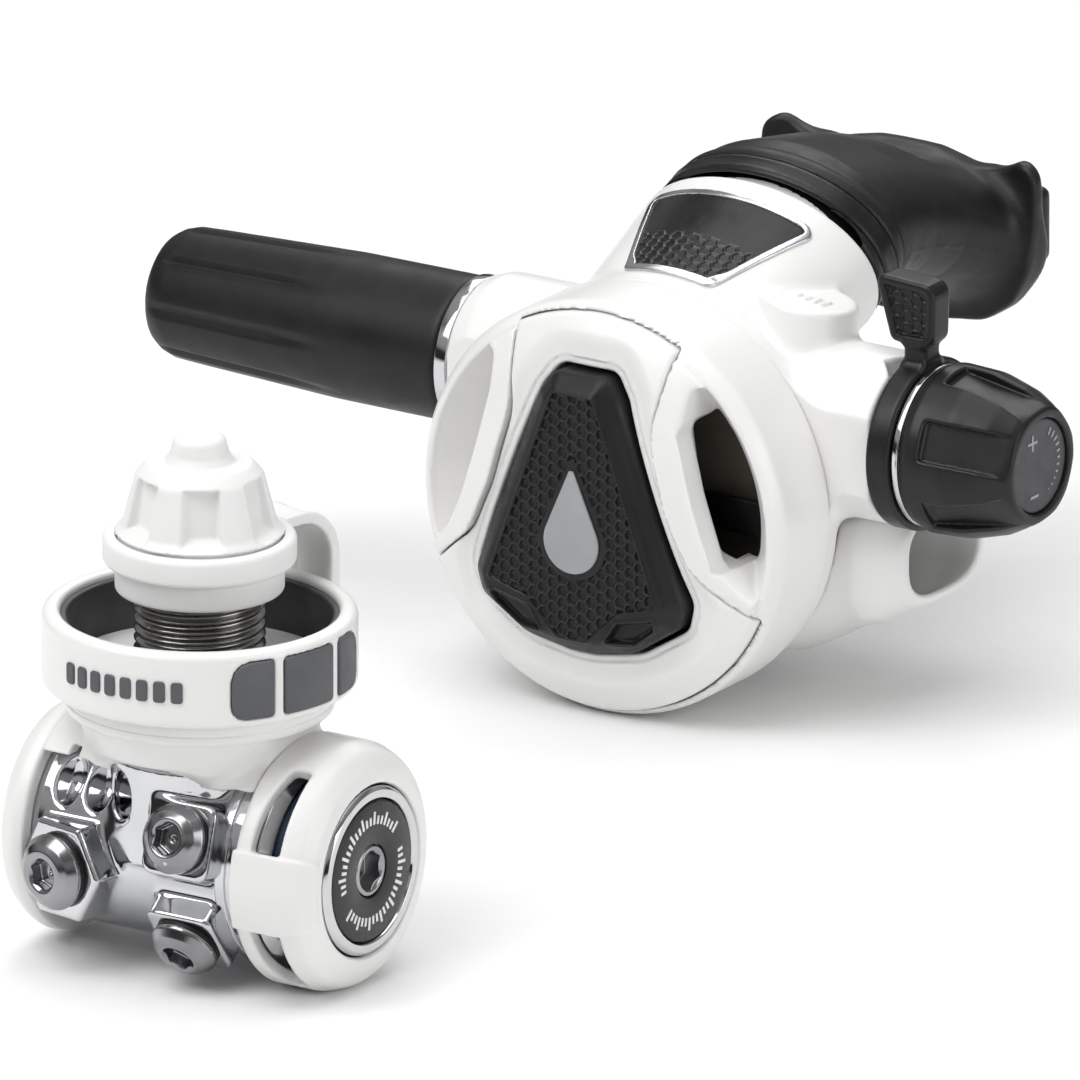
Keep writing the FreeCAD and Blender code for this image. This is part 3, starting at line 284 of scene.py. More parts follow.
def nets(values, low, step):
    """One point in each cell that the surface crosses, and a quad across each crossed edge."""
    inside = values < 0
    nx, ny, nz = (n - 1 for n in values.shape)
    corners = [(i, j, k) for i in (0, 1) for j in (0, 1) for k in (0, 1)]
    total = sum(inside[i:nx + i, j:ny + j, k:nz + k].astype(np.int8) for i, j, k in corners)
    cells = np.argwhere((total > 0) & (total < 8))
    index = np.full((nx, ny, nz), -1)
    index[tuple(cells.T)] = np.arange(len(cells))
    points = np.zeros((len(cells), 3))
    crossings = np.zeros(len(cells))
    for a in corners:
        for axis in range(3):
            if a[axis]:
                continue
            b = tuple(v + (i == axis) for i, v in enumerate(a))
            va = values[tuple((cells + a).T)]
            vb = values[tuple((cells + b).T)]
            crossed = (va < 0) != (vb < 0)
            t = np.where(crossed, va / np.where(crossed, va - vb, 1), 0)
            points += np.where(crossed[:, None], np.array(a) + t[:, None] * (np.array(b) - a), 0)
            crossings += crossed
    points = (points / crossings[:, None] + cells) * step + low
    faces = []
    for axis in range(3):
        others = [i for i in range(3) if i != axis]
        here = [slice(1, -1)] * 3
        here[axis] = slice(0, -1)
        there = list(here)
        there[axis] = slice(1, None)
        a, b = inside[tuple(here)], inside[tuple(there)]
        edge = np.argwhere(a != b)
        out = a[tuple(edge.T)]
        for i in others:
            edge[:, i] += 1
        ring = []
        for du, dv in ((1, 1), (0, 1), (0, 0), (1, 0)):
            c = edge.copy()
            c[:, others[0]] -= du
            c[:, others[1]] -= dv
            ring.append(index[tuple(c.T)])
        quad = np.stack(ring, 1)
        flip = out if axis == 1 else ~out
        quad[flip] = quad[flip][:, ::-1]
        faces.append(quad)
    return points, np.concatenate(faces)


def onto(field, points, faces, step):
    """Points moved along the field's slope until they lie on its surface."""
    h = 0.1 * step
    for _ in range(2):
        d = field(*points.T)
        slope = np.stack([
            (field(*(points + h * e).T) - field(*(points - h * e).T)) / (2 * h) for e in np.eye(3)
        ], 1)
        move = -d[:, None] * slope / np.maximum((slope ** 2).sum(1), 0.25)[:, None]
        length = np.linalg.norm(move, axis=1)
        points = points + move * np.minimum(1, 0.5 * step / np.maximum(length, 1e-9))[:, None]
    return points, faces


# ---- meshes ----
def turned(outline, axis, centre=(0.0, 0.0), count=160, shape=None):
    """A closed outline of (along, radius) points turned round a main axis.
    shape(along, radius, angle) may change the radius, as for a thread or grooves."""
    angle = np.linspace(0, 2 * math.pi, count, endpoint=False)[:, None]
    along = np.broadcast_to(outline[:, 0], (count, len(outline)))
    radius = np.broadcast_to(outline[:, 1], (count, len(outline)))
    if shape:
        radius = shape(along, radius, angle)
    u, v = radius * np.cos(angle), radius * np.sin(angle)
    order = {"x": (along, u + centre[0], v + centre[1]),
             "y": (v + centre[0], along, u + centre[1]),
             "z": (u + centre[0], v + centre[1], along)}[axis]
    points = np.stack(order, -1).reshape(-1, 3)
    n = len(outline)
    i, j = np.meshgrid(np.arange(count), np.arange(n), indexing="ij")
    i2, j2 = (i + 1) % count, (j + 1) % n
    faces = np.stack([i * n + j, i2 * n + j, i2 * n + j2, i * n + j2], -1).reshape(-1, 4)
    area = sum(a[0] * b[1] - a[1] * b[0] for a, b in zip(outline, np.roll(outline, -1, 0)))
    return points, faces if area > 0 else faces[:, ::-1]


def dense(outline, spacing):
    """The same outline with its long runs divided."""
    points = []
    for a, b in zip(outline, np.roll(outline, -1, 0)):
        n = max(1, int(np.hypot(*(b - a)) / spacing))
        points += [a + (b - a) * k / n for k in range(n)]
    return np.array(points)


def merged(parts):
    """Several (points, faces) parts as one."""
    points, faces, start = [], [], 0
    for p, f in parts:
        points.append(p)
        faces.append(np.asarray(f) + start)
        start += len(p)
    return np.concatenate(points), np.concatenate(faces)


def placed(part, out, base):
    """A part built along +Z, turned towards out and moved to base."""
    turn = np.array(Vector((0, 0, 1)).rotation_difference(Vector(out)).to_matrix())
    return part[0] @ turn.T + base, part[1]


def piece(name, part, origin, body, slot, nodes=(), material=None):
    """A visible piece that rides on a body and stands for the CAD nodes named."""
    mesh = bpy.data.meshes.new(name)
    mesh.from_pydata(((part[0] + origin) * MM).tolist(), [], np.asarray(part[1]).tolist())
    mesh.polygons.foreach_set("use_smooth", [True] * len(mesh.polygons))
    mesh.materials.append(material or SLOT_FINISH[slot])
    mesh.update()
    ob = bpy.data.objects.new(name, mesh)
    bpy.context.scene.collection.objects.link(ob)
    if body:
        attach(ob, body)
    if nodes:
        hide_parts(*nodes)
    return ob


# ---- materials ----
def noise_node(nodes, links, scale, detail):
    """Noise in the piece's own space."""
    where = nodes.new("ShaderNodeTexCoord")
    noise = nodes.new("ShaderNodeTexNoise")
    noise.inputs["Scale"].default_value = scale
    noise.inputs["Detail"].default_value = detail
    links.new(where.outputs["Object"], noise.inputs["Vector"])
    return noise


def ranged(nodes, links, source, low, high, start=0.35, end=0.65):
    """A value between start and end, spread from low to high."""
    span = nodes.new("ShaderNodeMapRange")
    span.inputs["From Min"].default_value = start
    span.inputs["From Max"].default_value = end
    span.inputs["To Min"].default_value = low
    span.inputs["To Max"].default_value = high
    links.new(source, span.inputs["Value"])
    return span.outputs["Result"]


def mix_node(nodes, links, factor, second):
    """Colour mix towards the second colour; its first colour is still open."""
    mix = nodes.new("ShaderNodeMix")
    mix.data_type = "RGBA"
    mix.inputs["B"].default_value = (*second, 1)
    links.new(factor, mix.inputs["Factor"])
    return mix


def finish(name, colour, shade, rough, grain, depth, metallic=0.0, coat=0.0, edge_highlight=None, gloss=0.5):
    """One finish: colour drifting to shade, roughness from rough[0] to rough[1],
    and a grain of that scale and depth in metres; the edge colour is a painted highlight, lighter on the sharp
    edges."""
    mat = bpy.data.materials.new(name)
    mat.use_nodes = True
    nodes, links = mat.node_tree.nodes, mat.node_tree.links
    shader = nodes["Principled BSDF"]
    drift = noise_node(nodes, links, 90.0, 3.0)
    mix = mix_node(nodes, links, ranged(nodes, links, drift.outputs["Fac"], 0, 1), shade)
    mix.inputs["A"].default_value = (*colour, 1)
    tone = mix.outputs["Result"]
    # painted highlight: pointiness blends the convex edges towards the lighter edge colour
    if edge_highlight:
        shape = nodes.new("ShaderNodeNewGeometry")
        edge = ranged(nodes, links, shape.outputs["Pointiness"], 0, 1, 0.52, 0.60)
        mix = mix_node(nodes, links, edge, edge_highlight)
        links.new(tone, mix.inputs["A"])
        tone = mix.outputs["Result"]
    links.new(tone, shader.inputs["Base Color"])
    smear = noise_node(nodes, links, 260.0, 5.0)
    links.new(ranged(nodes, links, smear.outputs["Fac"], *rough), shader.inputs["Roughness"])
    fine = noise_node(nodes, links, grain, 6.0)
    bump = nodes.new("ShaderNodeBump")
    bump.inputs["Strength"].default_value = 0.6
    bump.inputs["Distance"].default_value = depth
    links.new(fine.outputs["Fac"], bump.inputs["Height"])
    links.new(bump.outputs["Normal"], shader.inputs["Normal"])
    shader.inputs["Metallic"].default_value = metallic
    shader.inputs["Coat Weight"].default_value = coat
    shader.inputs["Specular IOR Level"].default_value = gloss
    shader.inputs["Coat Roughness"].default_value = 0.08
    return mat


WHITE = finish("white_plastic", (0.80, 0.795, 0.785), (0.79, 0.785, 0.775), (0.30, 0.33), 2600, 1.2e-5,
               coat=0.10)
SOFT_WHITE = finish("soft_white", (0.79, 0.785, 0.78), (0.775, 0.77, 0.765), (0.42, 0.52), 1800, 3e-5)
CHROME = finish("chrome", (0.60, 0.605, 0.62), (0.56, 0.565, 0.58), (0.05, 0.12), 900, 4e-6, metallic=1.0)
STEEL = finish("steel", (0.46, 0.46, 0.47), (0.36, 0.36, 0.37), (0.18, 0.30), 1500, 8e-6, metallic=1.0)
# the edge colours of plug_steel, thread_steel, black_rubber, black_plastic and silicone_black are painted
# highlights on their sharp edges
PLUG_STEEL = finish("plug_steel", (0.34, 0.34, 0.35), (0.25, 0.25, 0.26), (0.16, 0.26), 1500, 8e-6,
                    metallic=1.0, edge_highlight=(0.62, 0.62, 0.63))
# the thread's bright crest lines are a painted highlight
THREAD = finish("thread_steel", (0.34, 0.33, 0.32), (0.30, 0.29, 0.28), (0.20, 0.26), 1200, 5e-6,
                metallic=1.0, edge_highlight=(0.80, 0.79, 0.76))
BRASS = finish("brass", (0.66, 0.50, 0.24), (0.56, 0.41, 0.18), (0.20, 0.32), 1500, 8e-6, metallic=1.0)
RUBBER = finish("black_rubber", (0.007, 0.007, 0.0075), (0.010, 0.010, 0.0105), (0.38, 0.48), 2400, 4e-5,
                edge_highlight=(0.020, 0.020, 0.021), gloss=0.3)
BLACK = finish("black_plastic", (0.007, 0.007, 0.0075), (0.011, 0.011, 0.0115), (0.30, 0.40), 3200, 3e-5,
               edge_highlight=(0.022, 0.022, 0.023), gloss=0.32)
GREY_PAD = finish("grey_pad", (0.095, 0.097, 0.105), (0.080, 0.082, 0.090), (0.50, 0.62), 2600, 4e-5)
LINER = finish("dark_liner", (0.060, 0.061, 0.065), (0.045, 0.046, 0.050), (0.45, 0.58), 2400, 3e-5)
NAVY = finish("navy_rubber", (0.006, 0.018, 0.045), (0.005, 0.014, 0.035), (0.35, 0.45), 2400, 2e-5)
EMBLEM = finish("emblem_silver", (0.33, 0.34, 0.355), (0.29, 0.30, 0.315), (0.34, 0.44), 2600, 8e-6)
LABEL = finish("label_black", (0.007, 0.007, 0.008), (0.012, 0.012, 0.013), (0.22, 0.32), 3000, 8e-6,
               gloss=0.4)
LABEL_RIM = finish("label_chrome", (0.62, 0.63, 0.65), (0.52, 0.53, 0.55), (0.14, 0.24), 1500, 8e-6,
                   metallic=1.0)
SILICONE = finish("silicone_black", (0.007, 0.007, 0.0075), (0.010, 0.010, 0.0105), (0.36, 0.46), 2000, 5e-5,
                  edge_highlight=(0.018, 0.018, 0.019), gloss=0.32)
CLEAR = finish("silicone_clear", (0.16, 0.145, 0.115), (0.12, 0.11, 0.085), (0.36, 0.48), 1800, 3e-5)

SLOT_FINISH = {
    "white_plastic": WHITE, "soft_white": SOFT_WHITE, "chrome": CHROME, "steel": PLUG_STEEL,
    "spring_steel": STEEL, "brass": BRASS, "black_rubber": RUBBER, "black_plastic": BLACK,
    "grey_pad": GREY_PAD, "dark_liner": LINER, "emblem_silver": EMBLEM, "label_black": LABEL,
    "label_chrome": LABEL_RIM, "silicone_black": SILICONE, "silicone_clear": CLEAR,
}


def dress_cad_nodes():
    """Each CAD node that stays gets the finish of its slot."""
    slots = {part["node"]: part["material_slot"] for part in frame["record"]["subparts"]}
    for name, node in frame["nodes"].items():
        node.data.materials.clear()
        node.data.materials.append(SLOT_FINISH[slots[name]])


dress_cad_nodes()


# ---- second stage: cover ----
def sphere_height(x, z):
    """Front of the cover: a flat-topped dome that falls away to its seam."""
    r = np.hypot(x, z)
    return CROWN_Y + (SEAM_Y - CROWN_Y) * (r / PLATE_R) ** 3


def button_edge(grow):
    """Outline of the button, widened by grow."""
    return fillet(mirrored([
        (5.2 + grow, 26.4 + grow, 3.0), (8.2 + 1.1 * grow, 22.6, 4.0), (21.4 + 1.05 * grow, -12.0, 4.0),
        (20.0 + grow, -16.6 - grow, 3.5), (11.0 + 0.5 * grow, -22.4 - grow, 8.0), (2.0, -24.0 - grow, 8.0),
    ]), 2.0)


def plate_edge():
    """Waisted outline of the front plate."""
    return fillet(mirrored([
        (16.3, 40, 0), (16.3, 31.5, 3), (14.3, 17.5, 14), (18.2, 3.7, 20), (22.7, -5.9, 12),
        (32.5, -13.9, 2), (36.5, -17, 0), (36.5, -40, 0),
    ]), 1.0)


BUTTON_HOLE = button_edge(0.55)
BUTTON_EDGE = button_edge(0.0)
PLATE_EDGE = plate_edge()


def cover_height(x, z):
    """Front of the cover with the stepped basin round the button."""
    away = polygon(x, z, BUTTON_HOLE)
    basin = 1.5 * (1 - smooth((away - 1.6) / 4.6))
    lip = 0.45 * (1 - smooth((away - 1.3) / 0.35))
    return sphere_height(x, z) + basin + lip


def cover_plate():
    """Front plate with the basin and the hole for the button."""
    def field(x, y, z):
        side = np.maximum(polygon(x, z, PLATE_EDGE), np.hypot(x, z) - PLATE_R) + SEAM_GAP
        hole = 0.05 - polygon(x, z, BUTTON_HOLE)
        front = (cover_height(x, z) - y) * 0.85
        return meet(meet(np.maximum(side, hole), front, 0.7), y - 1.75, 0.3)
    part = contour(field, (-35.9, -9.7, -35.9), (35.9, 1.9, 35.9), 0.42)
    piece("cover_plate_shell", part, SECOND, "second_stage", "white_plastic", ["cover_plate"])


def crescent(side):
    """Recess beside the plate, from its upper tip round the outside to its lower tip."""
    outer = [(35.0 * math.cos(a), 35.0 * math.sin(a)) for a in np.radians([54, 42, 30, 18, 6, -6, -14])]
    inner = [(32.6, -10.8, 2), (28.4, -6.2, 8), (24.9, 0.0, 30), (21.6, 10.0, 50), (19.6, 20.0, 14)]
    return np.array([(side * x, z) for x, z in fillet(outer + inner, 2.0, 6)])


SLOT_OUTSIDE = [(20.2, 21.0), (24.5, 16.4), (28.0, 9.3), (29.6, 3.0), (29.4, -3.0), (27.6, -6.2)]
SLOT = fillet([(18.9, 18.0)] + SLOT_OUTSIDE + [(25.6, -4.5), (21.6, 7.0)], 2.2)
UNDERCUT = fillet([(16.2, 17.4)] + SLOT_OUTSIDE + [(22.0, -4.6), (17.8, 7.0)], 2.2)
RECESSES = crescent(1), crescent(-1)
FLANGE_ROOM = button_edge(3.0)


def cover_dome(x, y, z):
    """Cover with its hollow back and its two crescents, before plate, slot and button."""
    r = np.hypot(x, z)
    edge = -1.0 + 1.9 * smooth((r - 34.6) / 2.6)
    front = np.maximum(sphere_height(x, z), np.where(r > 34.6, edge - 0.6, -99))
    body = meet(meet(r - COVER_R, (front - y) * 0.85, 1.6), y - COVER_DEPTH, 0.4)
    floor = SEAM_Y + np.clip((35.2 - r) * 1.15, 0, 8.2)
    recess = np.minimum(*(polygon(x, z, outline) for outline in RECESSES))
    back = np.where(recess < 2.5, np.maximum(4.0, floor + 1.6), 4.0)
    plate_bed = np.maximum(np.maximum(polygon(x, z, PLATE_EDGE) - BED_GAP, r - PLATE_R - BED_GAP), y - 1.8)
    body = cut(body, np.maximum(r - COVER_INNER_R, back - y), 0.8)
    body = np.maximum(body, -plate_bed)
    return cut(body, meet(recess, (y - floor) * 0.75, 1.2), 1.1)


def cover_ring():
    """Cover round the plate, with the slot on the right and the room for the button."""
    def field(x, y, z):
        body = cover_dome(x, y, z)
        body = cut(body, np.maximum(polygon(x, z, SLOT), np.abs(y - 3.0) - 9), 0.6)
        body = cut(body, np.maximum(polygon(x, z, UNDERCUT), between(y, -0.6, 12)), 0.4)
        body = np.maximum(body, -np.maximum(polygon(x, z, BUTTON_HOLE) - 0.1, y - 4.2))
        room = np.maximum(polygon(x, z, FLANGE_ROOM) - 0.4, 3.9 - y)
        body = np.maximum(body, -np.maximum(room, y - 8.5))
        mark = block(x + 1.5, y + 1.3, z + 34.2, (-3.2, -3, -0.9), (3.2, 0.45, 0.9), 0.4)
        return cut(body, mark, 0.3)
    part = contour(field, (-37.1, -9.6, -37.1), (37.1, 15.2, 37.1), 0.46)
    piece("cover_ring_shell", part, SECOND, "second_stage", "white_plastic", ["cover_ring"])


def pin_guide():
    """Dark cross-bar behind the cover that guides the button's pin."""
    def field(x, y, z):
        r = np.hypot(x, z)
        bar = meet(between(y, 9.6, 11.0), between(z, -3.2, 3.2), 0.4)
        hub = meet(r - 5.2, between(y, 9.3, 11.2), 0.4)
        return np.maximum(np.maximum(join(bar, hub, 1.2), r - COVER_INNER_R + 0.05), PIN_R + 0.15 - r)
    part = contour(field, (-34.3, 9.2, -5.5), (34.3, 11.3, 5.5), 0.4)
    piece("pin_guide_bar", part, SECOND, "second_stage", "black_plastic")


# ---- second stage: button ----
FIELD_EDGE = fillet(mirrored([
    (4.2, 23.4, 1.2), (17.4, -12.6, 1.0), (9.6, -14.8, 1.0), (3.0, -21.2, 1.2),
]), 1.0)
POCKET = fillet([(5.8, -20.9), (8.9, -16.4), (17.2, -14.4), (16.4, -17.2), (12.0, -20.6)], 0.7)


def badge_edge(grow):
    """Water drop of the badge, widened by grow."""
    r = 5.6 + grow
    points = [(r * math.sin(a), -3.4 - r * math.cos(a)) for a in np.radians(range(0, 111, 10))]
    return np.array(mirrored([(0.4, 9.6 + 1.6 * grow)] + points[::-1]))


BADGE_ROOM = badge_edge(1.3)


def button_height(x, z):
    """Front of the button: bevelled edge, beads, honeycomb and the two pockets."""
    inset = -polygon(x, z, BUTTON_EDGE)
    height = BUTTON_Y + 2.2 * (1 - smooth(inset / 3.6)) ** 1.4
    inner = polygon(x, z, FIELD_EDGE)
    pocket = np.minimum(polygon(x, z, POCKET), polygon(-x, z, POCKET))
    bead = np.minimum(np.abs(inner), np.abs(pocket))
    height = height - 0.30 * (1 - smooth(bead / 0.42))
    cells = 0.55 * smooth((honeycomb(x, z, CELL_SIZE) - 0.16) / 0.22)
    inside = 1 - smooth((inner + 0.5) / 0.3)
    clear = smooth((polygon(x, z, BADGE_ROOM) + 0.1) / 0.25)
    height = height + cells * inside * clear
    return height + 1.5 * (1 - smooth((pocket + 0.9) / 0.7))


def purge_button():
    """Button with its flange and its pin."""
    def field(x, y, z):
        side = polygon(x, z, BUTTON_EDGE)
        top = meet(side, (button_height(x, z) - y) * 0.8, 1.0)
        top = np.maximum(top, y - 4.7)
        flange = np.maximum(polygon(x, z, BUTTON_HOLE) - 1.2, between(y, 4.6, 6.2))
        pin = rod(y, np.hypot(x, z), 5.5, 11.9, PIN_R)
        return join(join(top, flange, 0.2), pin, 0.2)
    part = contour(field, (-23.6, -10.0, -26.4), (23.6, 11.9, 28.4), 0.24)
    piece("purge_button_cap", part, SECOND, "purge", "black_rubber", ["purge_button"])


def purge_badge():
    """Plain water drop on the button."""
    def field(x, y, z):
        return meet(polygon(x, z, badge_edge(0.0)), between(y, BUTTON_Y - 0.42, BUTTON_Y + 0.1), 0.16)
    part = contour(field, (-5.8, -10.2, -9.2), (5.8, -9.4, 9.8), 0.13)
    piece("purge_badge", part, SECOND, "purge", "emblem_silver", ["purge_emblem"])


# ---- second stage: case ----
def mouth_frame(x, y, z):
    """Distance along the mouth collar's axis and upwards across it, from the collar's centre."""
    dy, dz = y - MOUTH_Y, z - MOUTH_Z
    along = dy * math.cos(MOUTH_TILT) + dz * math.sin(MOUTH_TILT)
    return along, -dy * math.sin(MOUTH_TILT) + dz * math.cos(MOUTH_TILT)


def oval(u, v, a, b):
    """Distance from an ellipse, near enough close to it."""
    k = np.sqrt((u / a) ** 2 + (v / b) ** 2)
    slope = np.sqrt((u / a ** 2) ** 2 + (v / b ** 2) ** 2)
    return (k - 1) * k / np.maximum(slope, 1e-3)


def bowl(r, y, shrink):
    """Case behind the cover, from its depth profile."""
    reach = np.interp(y, [15.2, 18.5, 24.0, 30.0, 35.5, 39.0], [36.9, 36.4, 33.2, 27.4, 19.0, 8.0]) - shrink
    return np.maximum((r - reach) * 0.72, y - CASE_DEPTH + shrink)


def barrel_radius(y, z):
    """Distance from the axis of air barrel, knob and sleeve."""
    return np.hypot(y - BARREL_Y, z - BARREL_Z)


def lever_boss(x, y, z):
    """Round raised boss by the lever, leaning a little back and to the right."""
    rise = np.array([0.12, 0.1, 1.0]) / math.sqrt(1.0244)
    px, py, pz = x - BOSS_X, y - BOSS_Y, z - 22.0
    height = px * rise[0] + py * rise[1] + pz * rise[2]
    side = np.sqrt(np.maximum(px * px + py * py + pz * pz - height * height, 0))
    return meet(side - BOSS_R + 0.16 * height, between(height, 0, 12.0), 1.0)


def case_outer(x, y, z):
    """Outside of the case: bowl, barrel, neck to the mouth collar and boss."""
    along, up = mouth_frame(x, y, z)
    reach = BARREL_R - 1.0 * (1 - smooth((x - BARREL_LEFT) / 4.0))
    barrel = meet((barrel_radius(y, z) - reach) * 0.95, between(x, BARREL_LEFT, BARREL_RIGHT), 0.8)
    grow = np.clip((along + 36) / 36, 0, 1)
    neck = oval(x, up, MOUTH_A - 1.6 * (1 - grow), MOUTH_B - 1.4 * (1 - grow))
    neck = meet(neck, between(along, -36, 0.0), 1.6)
    case = join(join(bowl(np.hypot(x, z), y, 0), barrel, 3.5), neck, 3.0)
    return join(case, lever_boss(x, y, z), 1.6)


def valve_frame(x, y, z):
    """Distance along the exhaust valve's axis, across it, and up its face."""
    c, s = math.cos(VALVE_TILT), math.sin(VALVE_TILT)
    dy, dz = y - VALVE_Y, z - VALVE_Z
    up = dy * s + dz * c
    return dy * c - dz * s, np.sqrt(x * x + up ** 2), up


def case_room(x, y, z):
    """Air space inside the case and its mouth collar, all but the valve seat's disc."""
    along, up = mouth_frame(x, y, z)
    deep, across, _ = valve_frame(x, y, z)
    neck = np.maximum(oval(x, up, MOUTH_A - 4.0, MOUTH_B - 4.0), between(along, -36, -1))
    collar = np.maximum(oval(x, up, MOUTH_A - 5.6, MOUTH_B - 5.6), between(along, -4, 12))
    inside = np.minimum(np.minimum(bowl(np.hypot(x, z), y, CASE_WALL), neck), collar)
    return np.maximum(inside, -np.maximum(across - VALVE_R, between(deep, -0.5, 4.0)))


def case_housing():
    """Case with the barrel, the mouth collar, the valve seat and the lever's notch."""
    def field(x, y, z):
        along, up = mouth_frame(x, y, z)
        barrel_r = barrel_radius(y, z)
        deep, across, valve_up = valve_frame(x, y, z)
        spigot = oval(x, up, MOUTH_A - 3.4, MOUTH_B - 3.4)
        body = join(case_outer(x, y, z), meet(spigot, between(along, -1, 8.0), 0.5), 0.4)
        body = join(body, rod(deep, across, -10.0, 4.0, VALVE_R, 0.6), 0.6)
        body = cut(body, case_room(x, y, z), 0.5)
        body = np.maximum(body, (COVER_DEPTH + 0.06 - y))
        body = np.maximum(body, 9.45 - barrel_r)
        body = np.maximum(body, -np.maximum(barrel_r - 11.1, -6 - x))
        notch_side = np.abs(y - 25.5)
        notch = np.maximum(notch_side - 3.4, np.maximum(24.6 - z, 41.6 - x + 0.9 * notch_side))
        body = cut(body, notch, 0.4)
        holes = np.hypot(np.abs(x) - 4.67, np.abs(valve_up) - 4.67) - 3.9
        body = np.maximum(body, -np.maximum(holes, between(deep, -9, 9)))
        return join(body, marker_relief(x, y, z), 0.25)
    part = contour(field, (-42.1, 15.1, -37.0), (45.1, 60.4, 51.6), 0.52)
    piece("case_shell", part, SECOND, "second_stage", "white_plastic", ["case_housing"])


def marker_relief(x, y, z):
    """Plain pointer and scale strokes raised on the boss."""
    px, py = x - BOSS_X, y - BOSS_Y
    top = 34.0 - 0.12 * px - 0.1 * py
    slab = np.abs(z - top - 0.2) - 0.45
    pointer = polygon(px, py, np.array([(-5.6, 0.0), (-2.8, 1.7), (-2.8, -1.7)]))
    strokes = np.full(np.shape(x), 9.0)
    for i in range(4):
        strokes = np.minimum(strokes, np.maximum(np.abs(px - 1.8 * i) - 0.35, np.abs(py) - 1.1 - 0.3 * i))
    return np.maximum(np.minimum(pointer, strokes), slab)


LABEL_EDGE = fillet([(-8.3, -26.5), (8.3, -26.5), (16.4, -5.5), (-16.4, -5.5)], 1.2)


def case_label():
    """Blank badge on the case: bright frame, dark face and a honeycomb in its front half."""
    low, high = (-17.5, 19.5, 29.0), (17.5, 51.0, 51.0)

    def frame_field(x, y, z):
        along, _ = mouth_frame(x, y, z)
        skin = case_outer(x, y, z)
        edge = polygon(x, along, LABEL_EDGE)
        wide = np.where(along < -22, 0.9 + 0.9 * smooth((-22 - along) / 3.0), 0.9)
        rim = np.maximum(edge - 0.75, -edge - (wide - 0.5))
        return np.maximum(meet(rim, skin - 0.52, 0.2), -skin - 0.15)

    def face_field(x, y, z):
        along, _ = mouth_frame(x, y, z)
        skin = case_outer(x, y, z)
        edge = polygon(x, along, LABEL_EDGE)
        walls = 1 - smooth((honeycomb(x, along, SMALL_CELL) - 0.12) / 0.16)
        grid = walls * smooth((-15.5 - along) / 1.5) * smooth((-edge - 0.6) / 0.4)
        return np.maximum(meet(edge + 0.35, skin - 0.24 - 0.22 * grid, 0.15), -skin - 0.15)

    part = contour(frame_field, low, high, 0.24)
    piece("label_rim", part, SECOND, "second_stage", "label_chrome", ["label_frame"])
    part = contour(face_field, low, high, 0.2)
    piece("label_face", part, SECOND, "second_stage", "label_black", ["label_plate"])


def tee_section(x, y, z, inset):
    """Rounded section of the exhaust duct, whose corners grow squarer towards the outlets."""
    side = np.abs(x)
    span = [0, 21, 37, 45]
    cy = smooth_interp(side, span, [33.5, 34.5, 37.5, 40.0])
    cz = smooth_interp(side, span, [-20.0, -17.0, -11.5, -10.0])
    a = smooth_interp(side, span, [18.5, 17.5, 16.0, 13.0])
    b = smooth_interp(side, span, [13.5, 13.5, 11.5, 9.0])
    u, v = np.abs(y - cy) / (a - inset), np.abs(z - cz) / (b - inset)
    power = 2.0 + 0.9 * smooth((side - 20) / 22)
    k = (u ** power + v ** power + 1e-9) ** (1 / power)
    return (k - 1) * np.minimum(a, b) * 0.85


def exhaust_tee():
    """Hollow duct under the case that leads the used air out on both sides."""
    def field(x, y, z):
        along, up = mouth_frame(x, y, z)
        deep, across, _ = valve_frame(x, y, z)
        outer = meet(tee_section(x, y, z, 0), np.abs(x) - TEE_REACH, 1.2)
        tee = cut(outer, tee_section(x, y, z, 1.9), 0.9)
        tee = np.maximum(tee, -bowl(np.hypot(x, z), y, -0.15))
        tee = np.maximum(tee, -(barrel_radius(y, z) - BARREL_R - 0.1))
        tee = np.maximum(tee, -np.maximum(across - VALVE_R - 0.3, between(deep, -12, 6)))
        tee = np.maximum(tee, -np.maximum(oval(x, up, MOUTH_A + 0.1, MOUTH_B + 0.1), along))
        return np.maximum(tee, COVER_DEPTH + 0.15 - y)
    part = contour(field, (-45.2, 15.2, -34.5), (45.2, 55.0, 3.0), 0.5)
    piece("exhaust_cover", part, SECOND, "second_stage", "white_plastic", ["exhaust_tee"])


def smooth_interp(s, stations, values):
    """Interpolation that eases through each station."""
    total = np.full(np.shape(s), float(values[0]))
    for i in range(1, len(stations)):
        t = np.clip((s - stations[i - 1]) / (stations[i] - stations[i - 1]), 0, 1)
        total = total + (values[i] - values[i - 1]) * (0.5 * t + 0.5 * smooth(t))
    return total


LIP_EDGE = fillet(mirrored([
    (2.0, 38.3, 5), (6, 38.3, 5), (14, 36.2, 6), (20, 38.6, 6), (25, 41.2, 4), (28.6, 38.8, 4),
    (29.1, 34.0, 6), (28.6, 28.0, 8), (27.0, 20.5, 10), (23.1, 13.6, 8), (16.3, 9.0, 8), (6.0, 7.6, 8),
]), 4)


MOUTH_SPAN = [50.0, 57.0, 64.0, 72.0, 80.0, 86.0, 91.0, 96.0]       # stations along the mouthpiece
MOUTH_MIDDLE = [31.6, 33.9, 34.0, 33.0, 30.8, 28.6, 26.4, 24.6]
MOUTH_HALF_X = [23.4, 22.6, 21.2, 20.6, 21.8, 24.0, 26.0, 27.4]
MOUTH_HALF_Z = [17.0, 15.6, 14.2, 13.6, 13.4, 13.6, 13.9, 14.2]
BORE_SPAN = [60, 72, 99]


